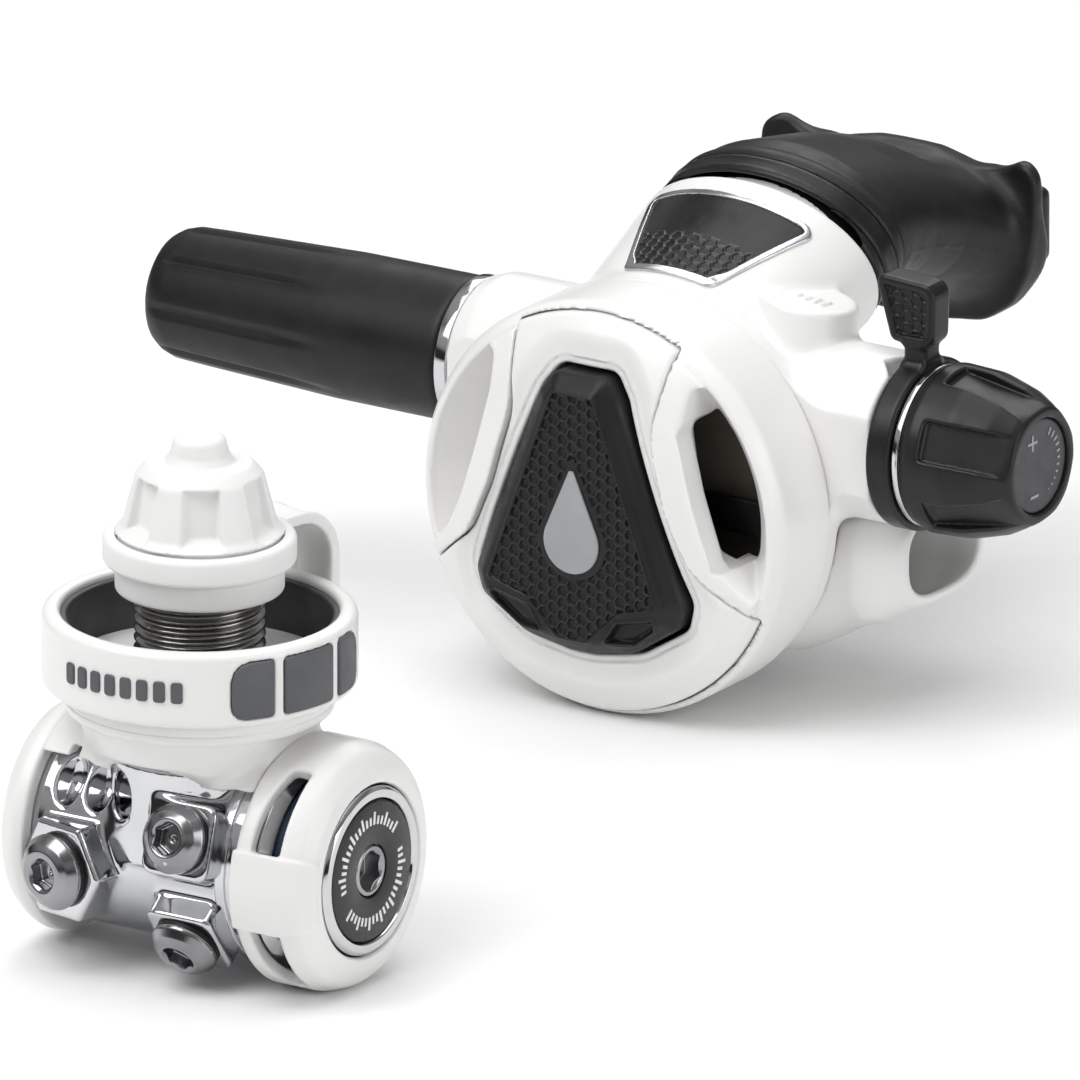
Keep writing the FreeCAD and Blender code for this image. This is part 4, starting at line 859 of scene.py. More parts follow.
def mouth_body(x, y, z, along, up):
    """Tube of the mouthpiece with its sleeve over the collar, its lip flange and the upper dent."""
    middle, a, b = (np.interp(y, MOUTH_SPAN, s) for s in (MOUTH_MIDDLE, MOUTH_HALF_X, MOUTH_HALF_Z))
    tube = oval(x, z - middle, a, b) * 0.9
    reach = 0.3 + 0.1 * along
    sleeve = meet(oval(x, up, MOUTH_A - reach, MOUTH_B - reach), between(along, 0.15, 9.5), 0.9)
    body = meet(tube, np.maximum(8.0 - along, y - 96.0), 1.2)
    body = join(body, sleeve, 1.6)
    bow = 96.2 - 0.0042 * x * x
    flange = meet(polygon(x, z, LIP_EDGE) + 1.1, np.abs(y - bow) - 0.9, 1.0) - 0.55
    body = join(body, flange, 4.5)
    dent = np.sqrt((x / 17.0) ** 2 + ((y - 87.5) / 5.2) ** 2 + ((z - 44.0) / 5.6) ** 2) - 1
    return cut(body, dent * 4.0, 2.5)


def mouth_bore(x, y, z, along):
    """Air way through the mouthpiece."""
    middle = np.interp(y, BORE_SPAN, [33.6, 33.0, 24.6])
    a, b = np.interp(y, BORE_SPAN, [17.4, 16.6, 12.6]), np.interp(y, BORE_SPAN, [10.6, 9.6, 8.0])
    return np.maximum(oval(x, z - middle, a, b), 8.0 - along)


def mouthpiece():
    """Silicone mouthpiece with its bite tabs, air way, band groove and mould seam."""
    def field(x, y, z):
        along, up = mouth_frame(x, y, z)
        y, z = y - 2.3, z - 0.95
        side, tab_z = np.abs(x) - TAB_X, z - 24.2
        tab = block(side, y - 96, tab_z, (-3.3, -1, -6.4), (3.3, 12.6, 6.4), 2.6)
        stud = block(side, y - 106.5, tab_z, (-4.0, -1.6, -6.8), (4.0, 2.0, 6.8), 1.8)
        body = join(join(mouth_body(x, y, z, along, up), tab, 1.6), stud, 1.2)
        body = cut(body, mouth_bore(x, y, z, along), 0.8)
        spigot = np.maximum(oval(x, up, MOUTH_A - 3.35, MOUTH_B - 3.35), along - 8.4)
        body = np.maximum(body, -spigot)
        groove = np.maximum(np.abs(along - CLAMP_PLACE) - 2.35, -oval(x, up, MOUTH_A - 1.9, MOUTH_B - 1.9))
        body = cut(body, groove, 0.3)
        seam = np.abs(z - np.interp(y, MOUTH_SPAN, MOUTH_MIDDLE) + 3.0)
        return body - 0.16 * (1 - smooth(seam / 0.35)) * smooth((y - 62) / 6) * (1 - smooth((y - 90) / 4))
    part = contour(field, (-29.8, 50.0, 7.0), (29.8, 111.4, 50.6), 0.55)
    piece("mouthpiece_skin", part, SECOND, "second_stage", "silicone_black", ["mouthpiece"])


def mouth_clamp():
    """Band in the groove round the mouthpiece's neck, with its buckle."""
    def field(x, y, z):
        along, up = mouth_frame(x, y, z)
        outer = oval(x, up, MOUTH_A - 0.65, MOUTH_B - 0.65)
        off = along - CLAMP_PLACE
        band = meet(np.maximum(outer, -outer - 1.15), np.abs(off) - 2.1, 0.5)
        ridges = 0.14 * smooth(1 - np.abs(np.abs(off) - 1.2) / 0.4)
        buckle = block(x, up + MOUTH_B - 0.4, off, (-4.2, -0.6, -2.0), (4.2, 1.1, 2.0), 0.5)
        return join(band - ridges, buckle, 0.3)
    part = contour(field, (-24.2, 45.5, 14.0), (24.2, 66.0, 52.0), 0.42)
    piece("mouthpiece_band", part, SECOND, "second_stage", "black_plastic", ["mouthpiece_clamp"])


# ---- second stage: lever and knob ----
PADDLE_EDGE = fillet([(39.6, 43.2, 1.4), (52.0, 42.6, 2.6), (51.6, 31.4, 2.0), (43.0, 31.4, 1.6)], 1.5)


def venturi_lever():
    """Disc round the barrel's end with an upright paddle, honeycombed in front."""
    def field(x, y, z):
        r = barrel_radius(y, z)
        disc = rod(x, r, 45.3, 49.9, LEVER_R, 0.8)
        disc = cut(disc, r - 6.3, 0.2)
        disc = cut(disc, np.maximum(np.abs(r - 13.4) - 0.5, 49.5 - x), 0.2)
        stem = block(x, y, z, (45.5, 25.0, 24.0), (49.9, 30.6, 34.0), 1.2)
        edge = polygon(x, z, PADDLE_EDGE)
        paddle = meet(edge + 0.9, np.abs(y - 27.8) - 1.9, 0.9) - 0.9
        sunk = meet(edge + 1.55, y - 25.75, 0.3)
        grip = cut(join(paddle, stem, 1.2), sunk, 0.25)
        walls = 1 - smooth((honeycomb(x - 46, z - 36, SMALL_CELL) - 0.13) / 0.16)
        grid = np.maximum(np.maximum(edge + 1.6, np.abs(y - 25.9) - 0.42 * walls), 0.3 - walls)
        return join(join(grip, disc, 1.4), grid, 0.1)
    part = contour(field, (39.0, 13.1, -2.5), (52.4, 43.9, 43.6), 0.27)
    piece("lever_paddle", part, SECOND, "venturi", "black_plastic", ["venturi_lever"])


def sixfold(angle, r, turn):
    """Across and outwards in the nearest of six flutes, the first turned back by some degrees."""
    step = math.pi / 3
    off = (angle + math.radians(turn) + step / 2) % step - step / 2
    return r * np.sin(off), r * np.cos(off)


def knob():
    """Tapered knob with six framed flutes and a sunk end."""
    outline = fillet([
        (KNOB_X, 0), (KNOB_X, 14.2, 0.5), (53.0, 15.0, 2.5), (60.5, 14.7, 8), (67.0, 12.9, 6),
        (70.6, 11.1, 1.2), (KNOB_END_X, 10.2, 1.0), (KNOB_END_X, 8.6, 0.3), (70.8, 8.4, 0.3), (70.8, 0),
    ], 1.0)

    def field(x, y, z):
        r = barrel_radius(y, z)
        grip = polygon(x, r, outline)
        across, out = sixfold(np.arctan2(y - BARREL_Y, z - BARREL_Z), r, 8)
        sink = 13.35 - (x - 55.5) * 0.19
        flute = meet(np.maximum(np.abs(across) - 3.5, sink - out), FLUTE_START - x, 0.8)
        frame_line = np.abs(np.maximum(np.abs(across) - 3.5, FLUTE_START - x)) - 0.3
        grip = cut(grip, flute, 0.7)
        return cut(grip, np.maximum(frame_line, 14.9 - r - (x - 60) * 0.14), 0.3)
    part = contour(field, (51.3, 13.2, -2.4), (72.1, 43.8, 28.2), 0.3)
    piece("knob_grip", part, SECOND, "knob", "black_plastic", ["knob"])


def knob_dial():
    """Dial in the knob's end: a dark disc with a plus, a minus and a growing scale."""
    def disc(x, y, z):
        return meet(barrel_radius(y, z) - 8.3, between(x, DIAL_X, DIAL_X + 0.5), 0.15)

    def marks(x, y, z):
        dy, dz = y - BARREL_Y, z - BARREL_Z
        r = barrel_radius(y, z)
        plus = np.minimum(np.maximum(np.abs(dy + 2.2) - 1.5, np.abs(dz - 4.6) - 0.3),
                          np.maximum(np.abs(dy + 2.2) - 0.3, np.abs(dz - 4.6) - 1.5))
        minus = np.maximum(np.abs(dy + 1.6) - 1.3, np.abs(dz + 5.2) - 0.3)
        angle = np.degrees(np.arctan2(dz, dy))
        ticks = np.maximum(np.abs((angle + 90) % 12 - 6) - 2.4, np.maximum(np.abs(angle) - 66, 5.6 - r))
        ticks = np.maximum(ticks * 0.1, r - 5.9 - 0.009 * (angle + 66))
        return np.maximum(np.minimum(np.minimum(plus, minus), ticks), between(x, 71.36, 71.5))

    part = contour(disc, (70.7, 20.0, 4.4), (71.5, 37.0, 21.4), 0.2)
    piece("knob_scale", part, SECOND, "knob", "dark_liner", ["knob_dial"])
    part = contour(marks, (71.2, 20.0, 4.4), (71.7, 37.0, 21.4), 0.12)
    piece("knob_marks", part, SECOND, "knob", "emblem_silver")


def knob_ring():
    """Bright ring between lever and knob."""
    outline = fillet([(50.2, 6.0), (50.2, 14.4), (51.4, 14.4), (51.4, 6.0)], 0.18, 3)
    piece("knob_band", turned(outline, "x", (BARREL_Y, BARREL_Z)), SECOND, "knob", "chrome", ["knob_ring"])


def hose_sleeve():
    """Rubber sleeve with shallow grooves that run in from its far end."""
    outline = dense(np.array([
        (SLEEVE_START, SLEEVE_BORE_R), (-92.1, SLEEVE_BORE_R), (-95.0, 5.8), (SLEEVE_END, 5.8),
        (SLEEVE_END, 9.0), (-106.2, 10.2), (-105.0, 11.0), (-103.0, 11.6), (-98.0, 11.85), (-70.0, 12.9), (-46.2, SLEEVE_R),
        (-45.4, 12.9), (SLEEVE_START, 12.4),
    ])[::-1], 0.7)

    def grooved(along, radius, angle):
        away = np.abs((angle / (2 * math.pi) * 8 + 0.5) % 1 - 0.5) * 2 * math.pi / 8 * radius
        reach = smooth((-66.0 - along) / 14.0) * smooth((along + 105.5) / 3.0)
        depth = 0.75 * (1 - np.clip(away / 1.5, 0, 1)) * reach
        return np.where(radius > 9.4, radius - depth, radius)
    part = turned(outline, "x", (BARREL_Y, BARREL_Z), 288, grooved)
    piece("hose_guard", part, SECOND, "hose_sleeve", "black_rubber", ["hose_sleeve"])


def inlet_nut():
    """Inlet fitting: its bright collar and the stem inside the sleeve."""
    ring = fillet([
        (-44.55, 13.0, 0), (-44.55, 13.6, 0.35), (-42.05, 13.6, 0.35), (-42.05, 9.5, 0), (-43.5, 9.5, 0),
        (-43.5, 4.0, 0), (-84.0, 4.0, 0), (-84.0, 6.6, 0.4), (-82.0, 8.5, 1.0), (-44.55, 8.5, 0),
    ][::-1], 0.3)
    part = turned(ring, "x", (BARREL_Y, BARREL_Z))
    piece("inlet_ring", part, SECOND, "second_stage", "chrome", ["inlet_nut"])


cover_plate()
cover_ring()
pin_guide()
purge_button()
purge_badge()
case_housing()
case_label()
exhaust_tee()
mouthpiece()
mouth_clamp()
venturi_lever()
knob()
knob_dial()
knob_ring()
hose_sleeve()
inlet_nut()


# ---- first stage: body ----
def body_polar(x, y, z):
    """Radius from the body axis, and the angle from the top over the front in degrees."""
    return np.hypot(y - BODY_BACK, z), np.degrees(np.arctan2(BODY_BACK - y, z))


def port_frames():
    """Face centre and outward direction of the four small ports."""
    for side in (-1, 1):
        for lift in PORT_ANGLES:
            a = math.radians(lift)
            out = np.array([0, side * math.cos(a), math.sin(a)])
            yield np.array([PORT_X, BODY_BACK, 0]) + out * PORT_FACE_R, out


def gauge_frames():
    """Face centre and outward direction of the two large ports."""
    a = math.radians(GAUGE_TURN)
    for side in (-1, 1):
        out = np.array([-math.sin(a), side * math.cos(a), 0])
        yield np.array([GAUGE_X, BODY_BACK, GAUGE_Z]) + out * PORT_FACE_R, out


def port_view(x, y, z, face, out):
    """Coordinates seen along a port: sideways, up the slope and outwards from its face."""
    side = np.cross((0, 0, 1), out)
    side = side / np.linalg.norm(side)
    up = np.cross(out, side)
    d = (x - face[0], y - face[1], z - face[2])
    return [sum(d[i] * axis[i] for i in range(3)) for axis in (side, up, out)]


def hexagon(a, b, flat):
    """Hexagon of that half width across its flats."""
    a, b = np.abs(a), np.abs(b)
    return np.maximum(a, 0.5 * a + 0.866 * b) - flat


def with_bosses(body, x, y, z):
    """The body with its squared port bosses, and the hexagonal ones with their lugs."""
    for face, out in port_frames():
        a, b, c = port_view(x, y, z, face, out)
        boss = meet(meet(np.abs(a) - 6.7, np.abs(b) - 6.7, 2.6), between(c, -15, 0), 0.7)
        body = join(body, boss, 1.3)
    for face, out in gauge_frames():
        a, b, c = port_view(x, y, z, face, out)
        boss = meet(hexagon(b, a, 8.35), between(c, -15, 0), 0.9)
        lug = block(a + 8.6, b + 1.5, c, (-1.6, -1.2, -5.5), (1.6, 1.2, -2.2), 0.6)
        body = join(join(body, boss, 1.0), lug, 0.6)
    return body


def first_stage_body():
    """Body with its neck, bosses, scooped cups, port holes and bores."""
    def field(x, y, z):
        r, angle = body_polar(x, y, z)
        body = meet(r - BODY_R, between(x, BODY_LEFT, SEAM_X), 0.5)
        neck = np.hypot(x, y) - np.interp(z, [17, 21], [16.4, NECK_R])
        body = join(body, np.maximum(np.maximum(neck, between(z, 0, NECK_TOP)), x - SEAM_X), 1.4)
        body = with_bosses(body, x, y, z)
        arc = (angle - 52) * math.pi / 180 * 17
        for place in CUP_PLACES:
            cup = np.sqrt(((x - place) / 2.7) ** 2 + (arc / 4.6) ** 2 + ((r - 18.6) / 4.2) ** 2) - 1
            body = cut(body, np.where(angle > 0, cup * 2.7, 9), 0.7)
        for face, out in list(port_frames()) + list(gauge_frames()):
            a, b, c = port_view(x, y, z, face, out)
            body = np.maximum(body, -np.maximum(np.hypot(a, b) - PORT_R, between(c, -9.9, 1)))
        body = np.maximum(body, -np.maximum(r - 8.0, x + 12))
        body = np.maximum(body, 6.0 - np.where(x > -13, r, 99))
        body = np.maximum(body, np.where(z > 3, 7.0 - np.hypot(x, y), -99))
        return np.maximum(body, z - NECK_TOP)
    part = contour(field, (-24.4, -22.0, -21.2), (14.1, 24.0, 24.4), 0.42)
    piece("first_stage_block", part, FIRST, "first_stage", "chrome", ["first_stage_body"])


def chamber():
    """Diaphragm chamber with a fine groove round it."""
    outline = fillet([
        (15.4, 10.2), (15.4, 16.9), (SEAM_X, 16.9), (SEAM_X, CHAMBER_R, 0.35), (16.0, CHAMBER_R, 0.2),
        (16.2, 18.9), (16.4, CHAMBER_R, 0.2), (22.3, CHAMBER_R, 0.5), (24.3, 16.2, 0.5),
        (31.0, 16.2), (31.0, 10.2),
    ], 0.05, 3)
    part = turned(dense(outline, 2.0), "x", (BODY_BACK, 0), 192)
    piece("chamber_band", part, FIRST, "first_stage", "chrome", ["diaphragm_chamber"])


def end_cap():
    """Spring cap with the bright rim round the label disc."""
    outline = fillet([
        (29.8, 4.7), (29.8, 10.1), (31.0, 10.1), (31.0, 13.6), (32.3, 14.9, 0.4), (33.5, 14.9, 0.4),
        (34.1, 14.3, 0.25), (34.1, 12.9, 0.25), (DISC_X, DISC_R + 0.05), (DISC_X, 4.7),
    ], 0.05, 3)
    piece("end_ring", turned(outline, "x", (BODY_BACK, 0), 160), FIRST, "first_stage", "chrome",
          ["spring_end_cap"])


def end_disc():
    """Dark disc with a ring of plain strokes in two groups."""
    disc = fillet([(DISC_X, 4.75), (DISC_X, DISC_R), (END_X, DISC_R, 0.2), (END_X, 4.75, 0.2)], 0.03, 2)
    piece("end_disc", turned(disc, "x", (BODY_BACK, 0), 128), FIRST, "first_stage", "label_black",
          ["label_disc"])
    strokes = []
    for i in range(48):
        if i % 24 > 20:
            continue
        angle = math.radians(i * 7.5 + 40)
        tall = 1.5 if i % 3 else 2.3
        out = np.array([0, math.cos(angle), math.sin(angle)])
        side = np.array([0, -out[2], out[1]])
        corners = [
            np.array([x, BODY_BACK, 0]) + out * (8.2 + u) + side * v
            for x in (END_X - 0.05, END_X + 0.07) for u, v in ((0, -0.3), (tall, -0.3), (tall, 0.3), (0, 0.3))
        ]
        quads = [(3, 2, 1, 0), (4, 5, 6, 7), (0, 1, 5, 4), (1, 2, 6, 5), (2, 3, 7, 6), (3, 0, 4, 7)]
        strokes.append((np.array(corners), np.array(quads)))
    ob = piece("end_strokes", merged(strokes), FIRST, "first_stage", "label_chrome", material=WHITE)
    bevel = ob.modifiers.new("soft_edges", "BEVEL")
    bevel.width = 0.05 * MM
    bevel.segments = 1


def adjuster():
    """Pressure adjusting screw with its hexagon socket."""
    def field(x, y, z):
        r, _ = body_polar(x, y, z)
        screw = rod(x, r, 27.6, 33.8, ADJUSTER_R, 0.5)
        socket = np.maximum(hexagon(y - BODY_BACK, z, 3.12), 30.4 - x)
        return cut(cut(screw, socket, 0.15), r - 3.3 - (x - 33.4), 0.15)
    part = contour(field, (27.5, -2.7, -4.7), (33.9, 6.7, 4.7), 0.22)
    piece("adjuster_screw", part, FIRST, "ip_adjuster", "steel", ["ip_adjuster"])


def bumper_slot(x, arc, near, far):
    """Long slot over an arc of the right bumper, narrower at its far end."""
    t = np.clip((arc - near) / (far - near), 0, 1)
    middle, half = (near + far) / 2, abs(far - near) / 2
    sides = between(x, 22.4 + 2.2 * t * t, 28.3)
    return meet(sides, (np.abs(arc - middle) - half) * 0.36, 0.9)


def right_bumper():
    """Right end guard with its two long slots and the blank tab between them."""
    outline = fillet([
        (BUMPER_X, 19.7, 0.2), (BUMPER_X, 21.4, 0.6), (20.2, BUMPER_R, 0.8), (28.4, BUMPER_R, 4.0),
        (31.8, 20.6, 3.0),
        (33.3, 17.8, 2.0), (33.8, 15.5, 0.3), (32.8, 15.15, 0.3), (29.6, 17.4, 2.0), (26.5, 19.7, 2.0),
    ], 0.4)
    tab_outline = fillet([
        (BUMPER_X, 20.5, 0.2), (BUMPER_X, 22.8, 0.5), (28.8, 22.9, 4.0), (32.3, 21.1, 3.0),
        (END_X, 18.0, 2.0),
        (END_X, 16.8, 0.5), (32.6, 16.8, 0.2), (28.0, 20.5, 1.0),
    ], 0.4)

    def field(x, y, z):
        r, arc = body_polar(x, y, z)
        shell = polygon(x, r, outline)
        shell = cut(shell, bumper_slot(x, arc, 71, 27), 0.5)
        shell = cut(shell, bumper_slot(x, arc, 108, 150), 0.5)
        side = np.abs(arc - 89.5) * math.pi / 180 * BUMPER_R - 7.1
        shell = join(shell, meet(polygon(x, r, tab_outline), side, 0.5), 0.3)
        return meet(shell, -21.3 - z, 0.6)
    part = contour(field, (17.5, -21.2, -21.3), (34.1, 25.0, 22.1), 0.42)
    piece("right_guard", part, FIRST, "first_stage", "white_plastic", ["right_bumper"])


def chamber_band():
    """Dark blue ring that shows through the bumper's slots."""
    outline = fillet([(24.6, 16.2), (24.6, 17.3, 0.3), (27.6, 17.3, 0.3), (27.6, 16.2)], 0.05, 3)
    piece("chamber_blue_ring", turned(outline, "x", (BODY_BACK, 0), 128), FIRST, "first_stage", "dark_liner",
          material=NAVY)


def left_bumper():
    """Left end guard with a fine ring and a shallow dish in its end."""
    outline = fillet([
        (BODY_LEFT, 18.1, 0.2), (BODY_LEFT, 20.4, 0.7), (-26.6, 20.9, 2.5), (-29.5, 19.4, 3.5),
        (BUMPER_END, 15.5, 2.5),
        (BUMPER_END, 0, 0), (-28.8, 0, 0), (-28.8, 14.7, 1.0), (-24.6, 16.2, 0.3),
    ], 0.4)

    def field(x, y, z):
        r, _ = body_polar(x, y, z)
        ring = 0.35 * smooth(1 - np.abs(r - 12.4) / 0.5)
        dish = -x - 31.05 + 9 * (r > 10.8)
        return cut(polygon(x, r, outline) + ring * (x < -30), dish, 0.3)
    part = contour(field, (-31.6, -19.0, -21.0), (-24.2, 23.0, 21.0), 0.42)
    piece("left_guard", part, FIRST, "first_stage", "white_plastic", ["left_bumper"])


def shroud():
    """White saddle over the body that flares up to the collar."""
    def field(x, y, z):
        r, _ = body_polar(x, y, z)
        across = np.hypot(x, y)
        saddle = meet(meet(r - SHROUD_R, between(x, -24.2, 19.2), 0.7), 15.4 - z, 0.7)
        shoulder = np.maximum(across - np.interp(z, [15.4, 18.0, 24.2], [17.8, 19.4, 21.4]), z - 24.2)
        low = 15.4 + 3.2 * smooth((-y - 12.5) / 6.0)
        body = join(saddle, meet(meet(shoulder, low - z, 0.7), x - 19.2, 0.7), 2.4)
        body = np.maximum(body, z - 24.2)
        body = np.maximum(body, 19.3 - r)
        body = np.maximum(body, np.interp(z, [17.1, 21.1], [16.6, 12.6]) - across)
        notch = block(x + 17.6, y, z - 15.0, (-1.0, -30, -3), (1.0, 0, 1.9), 0.3)
        return cut(body, notch, 0.2)
    part = contour(field, (-24.3, -21.7, 15.3), (19.3, 21.7, 24.3), 0.45)
    piece("shroud_shell", part, FIRST, "first_stage", "white_plastic", ["top_shroud"])


def collar():
    """White collar under the handwheel, with a fine groove."""
    outline = fillet([
        (NECK_TOP, 7.3), (NECK_TOP, COLLAR_R, 0.9), (26.0, COLLAR_R, 0.15), (26.15, 23.05),
        (26.3, COLLAR_R, 0.15),
        (COLLAR_TOP, COLLAR_R, 0.9), (COLLAR_TOP, 7.3),
    ], 0.05, 3)[::-1]
    piece("collar_ring", turned(outline, "z", (0, 0), 192), FIRST, "first_stage", "white_plastic",
          ["neck_collar"])


def plug(radius):
    """Plug with a rounded head and a hexagon socket, looking along +Z."""
    outline = fillet([
        (-5.9, 0, 0), (-5.9, PLUG_R, 0.3), (0.9, PLUG_R, 0), (0.9, radius, 0.15), (1.7, radius, 0.5),
        (3.2, radius - 1.2, 1.2), (4.0, radius - 2.5, 0.4), (4.0, 0, 0),
    ], 0.3)

    def field(x, y, z):
        r = np.hypot(x, y)
        head = polygon(z, r, outline)
        socket = np.maximum(hexagon(x, y, 2.5), 1.5 - z)
        return cut(cut(head, socket, 0.15), r - 2.75 - (z - 3.6), 0.15)
    return contour(field, (-radius, -radius, -6), (radius, radius, 4.1), 0.26)


def plugs_and_washers():
    """Plugs in all six ports, with the seals under their heads."""
    small, large = plug(PORT_HEAD_R), plug(GAUGE_HEAD_R)
    ports, gauges = list(port_frames()), list(gauge_frames())
    piece("port_plugs", merged([placed(small, out, face) for face, out in ports]), FIRST, "first_stage",
          "steel", ["lp_port_plugs"])
    piece("gauge_plugs", merged([placed(large, out, face) for face, out in gauges]), FIRST, "first_stage",
          "steel", ["gauge_port_plugs"])
    washers = []
    for frames, radius in ((ports, PORT_HEAD_R), (gauges, GAUGE_HEAD_R)):
        ring = fillet([(0, PORT_R), (0, radius - 0.1), (0.9, radius - 0.1), (0.9, PORT_R)], 0.2, 2)[::-1]
        washers += [placed(turned(ring, "z", (0, 0), 72), out, face) for face, out in frames]
    piece("plug_washers", merged(washers), FIRST, "first_stage", "black_rubber", ["port_washers"])


# ---- first stage: handwheel ----
def pads():
    """The grip pads: middle angle and half angle in degrees, and which end is rounder."""
    for base in (PAD_ANGLE, PAD_ANGLE + 180):
        for end in (-1, 0, 1):
            yield base + end * PAD_STEP, PAD_SIDE_HALF if end else PAD_HALF, end


def pad_field(angle, z, spare):
    """Distance from the nearest pad's outline on the unrolled rim."""
    low, high, sharp = 30.4, 40.6, 0.7
    nearest = np.full(np.shape(z), 99.0)
    for middle, half, end in pads():
        s = (angle - middle + 180) % 360 - 180
        s = s * math.pi / 180 * WHEEL_R
        w = half * math.pi / 180 * WHEEL_R
        shape = fillet([
            (-w, low, 2.4 if end < 0 else sharp), (w, low, 2.4 if end > 0 else sharp),
            (w, high, 3.4 if end > 0 else sharp), (-w, high, 3.4 if end < 0 else sharp),
        ], sharp, 3)
        nearest = np.minimum(nearest, polygon(s, z, shape) - spare)
    return nearest


def handwheel():
    """Gripping ring with its floor and the beds of the pads."""
    outline = fillet([
        (WHEEL_BOTTOM, 14.6, 0.3), (WHEEL_BOTTOM, WHEEL_R, 1.6), (WHEEL_TOP, WHEEL_R, 1.5),
        (WHEEL_TOP, WHEEL_INNER_R, 0.9), (WHEEL_FLOOR, WHEEL_INNER_R, 0.1), (WHEEL_FLOOR, 14.6, 0.3),
    ], 0.3)

    def field(x, y, z):
        r = np.hypot(x, y)
        angle = np.degrees(np.arctan2(y, x))
        rim = polygon(z, r, outline)
        near = (np.abs(rim) < 4) & (r > 25)
        pocket = np.full(np.shape(rim), 9.0)
        pocket[near] = pad_field(angle[near], z[near], 0.12)
        return cut(rim, np.maximum(pocket, 26.15 - r), 0.2)
    part = contour(field, (-27.3, -27.3, 28.6), (27.3, 27.3, 42.4), 0.42)
    piece("handwheel_ring", part, FIRST, "handwheel", "white_plastic", ["handwheel"])


def grip_pads():
    """Grey pads, a little proud of the rim."""
    def field(x, y, z):
        r = np.hypot(x, y)
        angle = np.degrees(np.arctan2(y, x))
        near = (np.abs(r - 27) < 4)
        shape = np.full(np.shape(r), 9.0)
        shape[near] = pad_field(angle[near], z[near], 0.0)
        return meet(shape, between(r, 26.2, 27.62), 0.35)
    part = contour(field, (-27.7, -27.7, 30.0), (27.7, 27.7, 41.0), 0.34)
    piece("grip_pads", part, FIRST, "handwheel", "grey_pad", ["handwheel_pads"])


def rim_ribs():
    """Row of plain raised ribs on the rim's front."""
    def field(x, y, z):
        r = np.hypot(x, y)
        s = (np.degrees(np.arctan2(y, x)) + 88) * math.pi / 180 * WHEEL_R
        place = np.clip(np.floor(s / RIB_STEP), -4, 3) + 0.5
        bar = meet(np.abs(s - place * RIB_STEP) - 1.05, np.abs(z - 35.5) - 1.9, 0.7)
        return meet(bar, between(r, 27.0, 27.6), 0.25)
    part = contour(field, (-16.0, -27.7, 33.0), (17.0, -21.0, 38.0), 0.2)
    piece("rim_ribs", part, FIRST, "handwheel", "grey_pad")


def wheel_liner():
    """Dark lining inside the ring."""
    outline = fillet([
        (WHEEL_FLOOR, LINER_R), (WHEEL_FLOOR, WHEEL_INNER_R), (41.1, WHEEL_INNER_R), (41.1, LINER_R, 0.4),
    ], 0.03, 3)
    piece("wheel_liner", turned(dense(outline, 1.0), "z", (0, 0), 192), FIRST, "handwheel", "dark_liner",
          ["handwheel_liner"])


def thread():
    """Coupling with a real helical thread."""
    outline = [(WHEEL_BOTTOM, 7.05), (WHEEL_BOTTOM, 14.5), (32.0, 14.5), (32.0, 10.6)]
    outline += [(z, THREAD_R) for z in np.arange(33.0, 52.31, 0.15)]
    outline += [(COUPLING_TOP, 10.4), (COUPLING_TOP, 7.05)]
    outline = np.array(outline)[::-1]

    def helix(along, radius, angle):
        phase = ((along - 33.0) / THREAD_PITCH - angle / (2 * math.pi)) % 1
        crest = np.clip(0.5 - 2.4 * np.abs(phase - 0.5) + 0.45, 0, 1)
        fade = smooth((along - 32.6) / 1.4) * smooth((52.5 - along) / 1.2)
        deep = THREAD_R - 1.0
        return np.where(np.isclose(radius, THREAD_R), deep + crest * fade, radius)
    part = turned(outline, "z", (0, 0), 180, helix)
    piece("din_thread", part, FIRST, "handwheel", "steel", ["din_coupling"], THREAD)


# ---- first stage: cap ----
def dust_cap():
    """Stepped dust cap with six flutes, a groove for its ring and a small knob on top."""
    outline = fillet([
        (CAP_SKIRT_Z, CAP_BORE_R, 0.3), (CAP_SKIRT_Z, 14.6, 0.5), (50.3, 14.6, 0.3), (50.3, 14.2, 0),
        (55.9, 14.2, 0), (55.9, CAP_R, 0.3), (57.4, 13.4, 1.6), (60.5, 12.6, 3), (66.4, 11.1, 2.2),
        (68.9, 8.7, 1.6), (68.3, 6.3, 1.0), (70.0, 5.2, 1.0), (72.7, 4.5, 1.4), (CAP_TOP, 3.2, 0.8),
        (CAP_TOP, 0, 0), (56.8, 0, 0), (56.8, CAP_BORE_R, 0.5),
    ], 0.3)

    def field(x, y, z):
        r = np.hypot(x, y)
        cap = polygon(z, r, outline)
        across, out = sixfold(np.arctan2(y, x), r, 55)
        floor = 10.7 - 0.17 * (z - 58.0)
        flare = np.clip(out - floor, 0, 3)
        flute = meet(np.abs(across) - 2.7 - 0.45 * flare, (floor - out), 0.5)
        flute = meet(flute, between(z, 58.0 - 0.5 * flare, 66.3), 0.5)
        return cut(cap, flute, 0.5)
    part = contour(field, (-14.9, -14.9, 45.6), (14.9, 14.9, 73.6), 0.36)
    piece("dust_cap_shell", part, FIRST, "dust_cap", "soft_white", ["dust_cap"])


def tether_ring():
    """Soft ring in the cap's groove."""
    outline = fillet([
        (RING_LOW, 14.5, 0.2), (RING_LOW, RING_R, 2.0), (RING_TOP, RING_R, 1.8), (RING_TOP, 14.5, 0.3),
    ], 0.3, 6)[::-1]
    piece("tether_ring", turned(outline, "z", (0, 0), 160), FIRST, "cap_carrier", "soft_white",
          ["cap_tether_ring"])


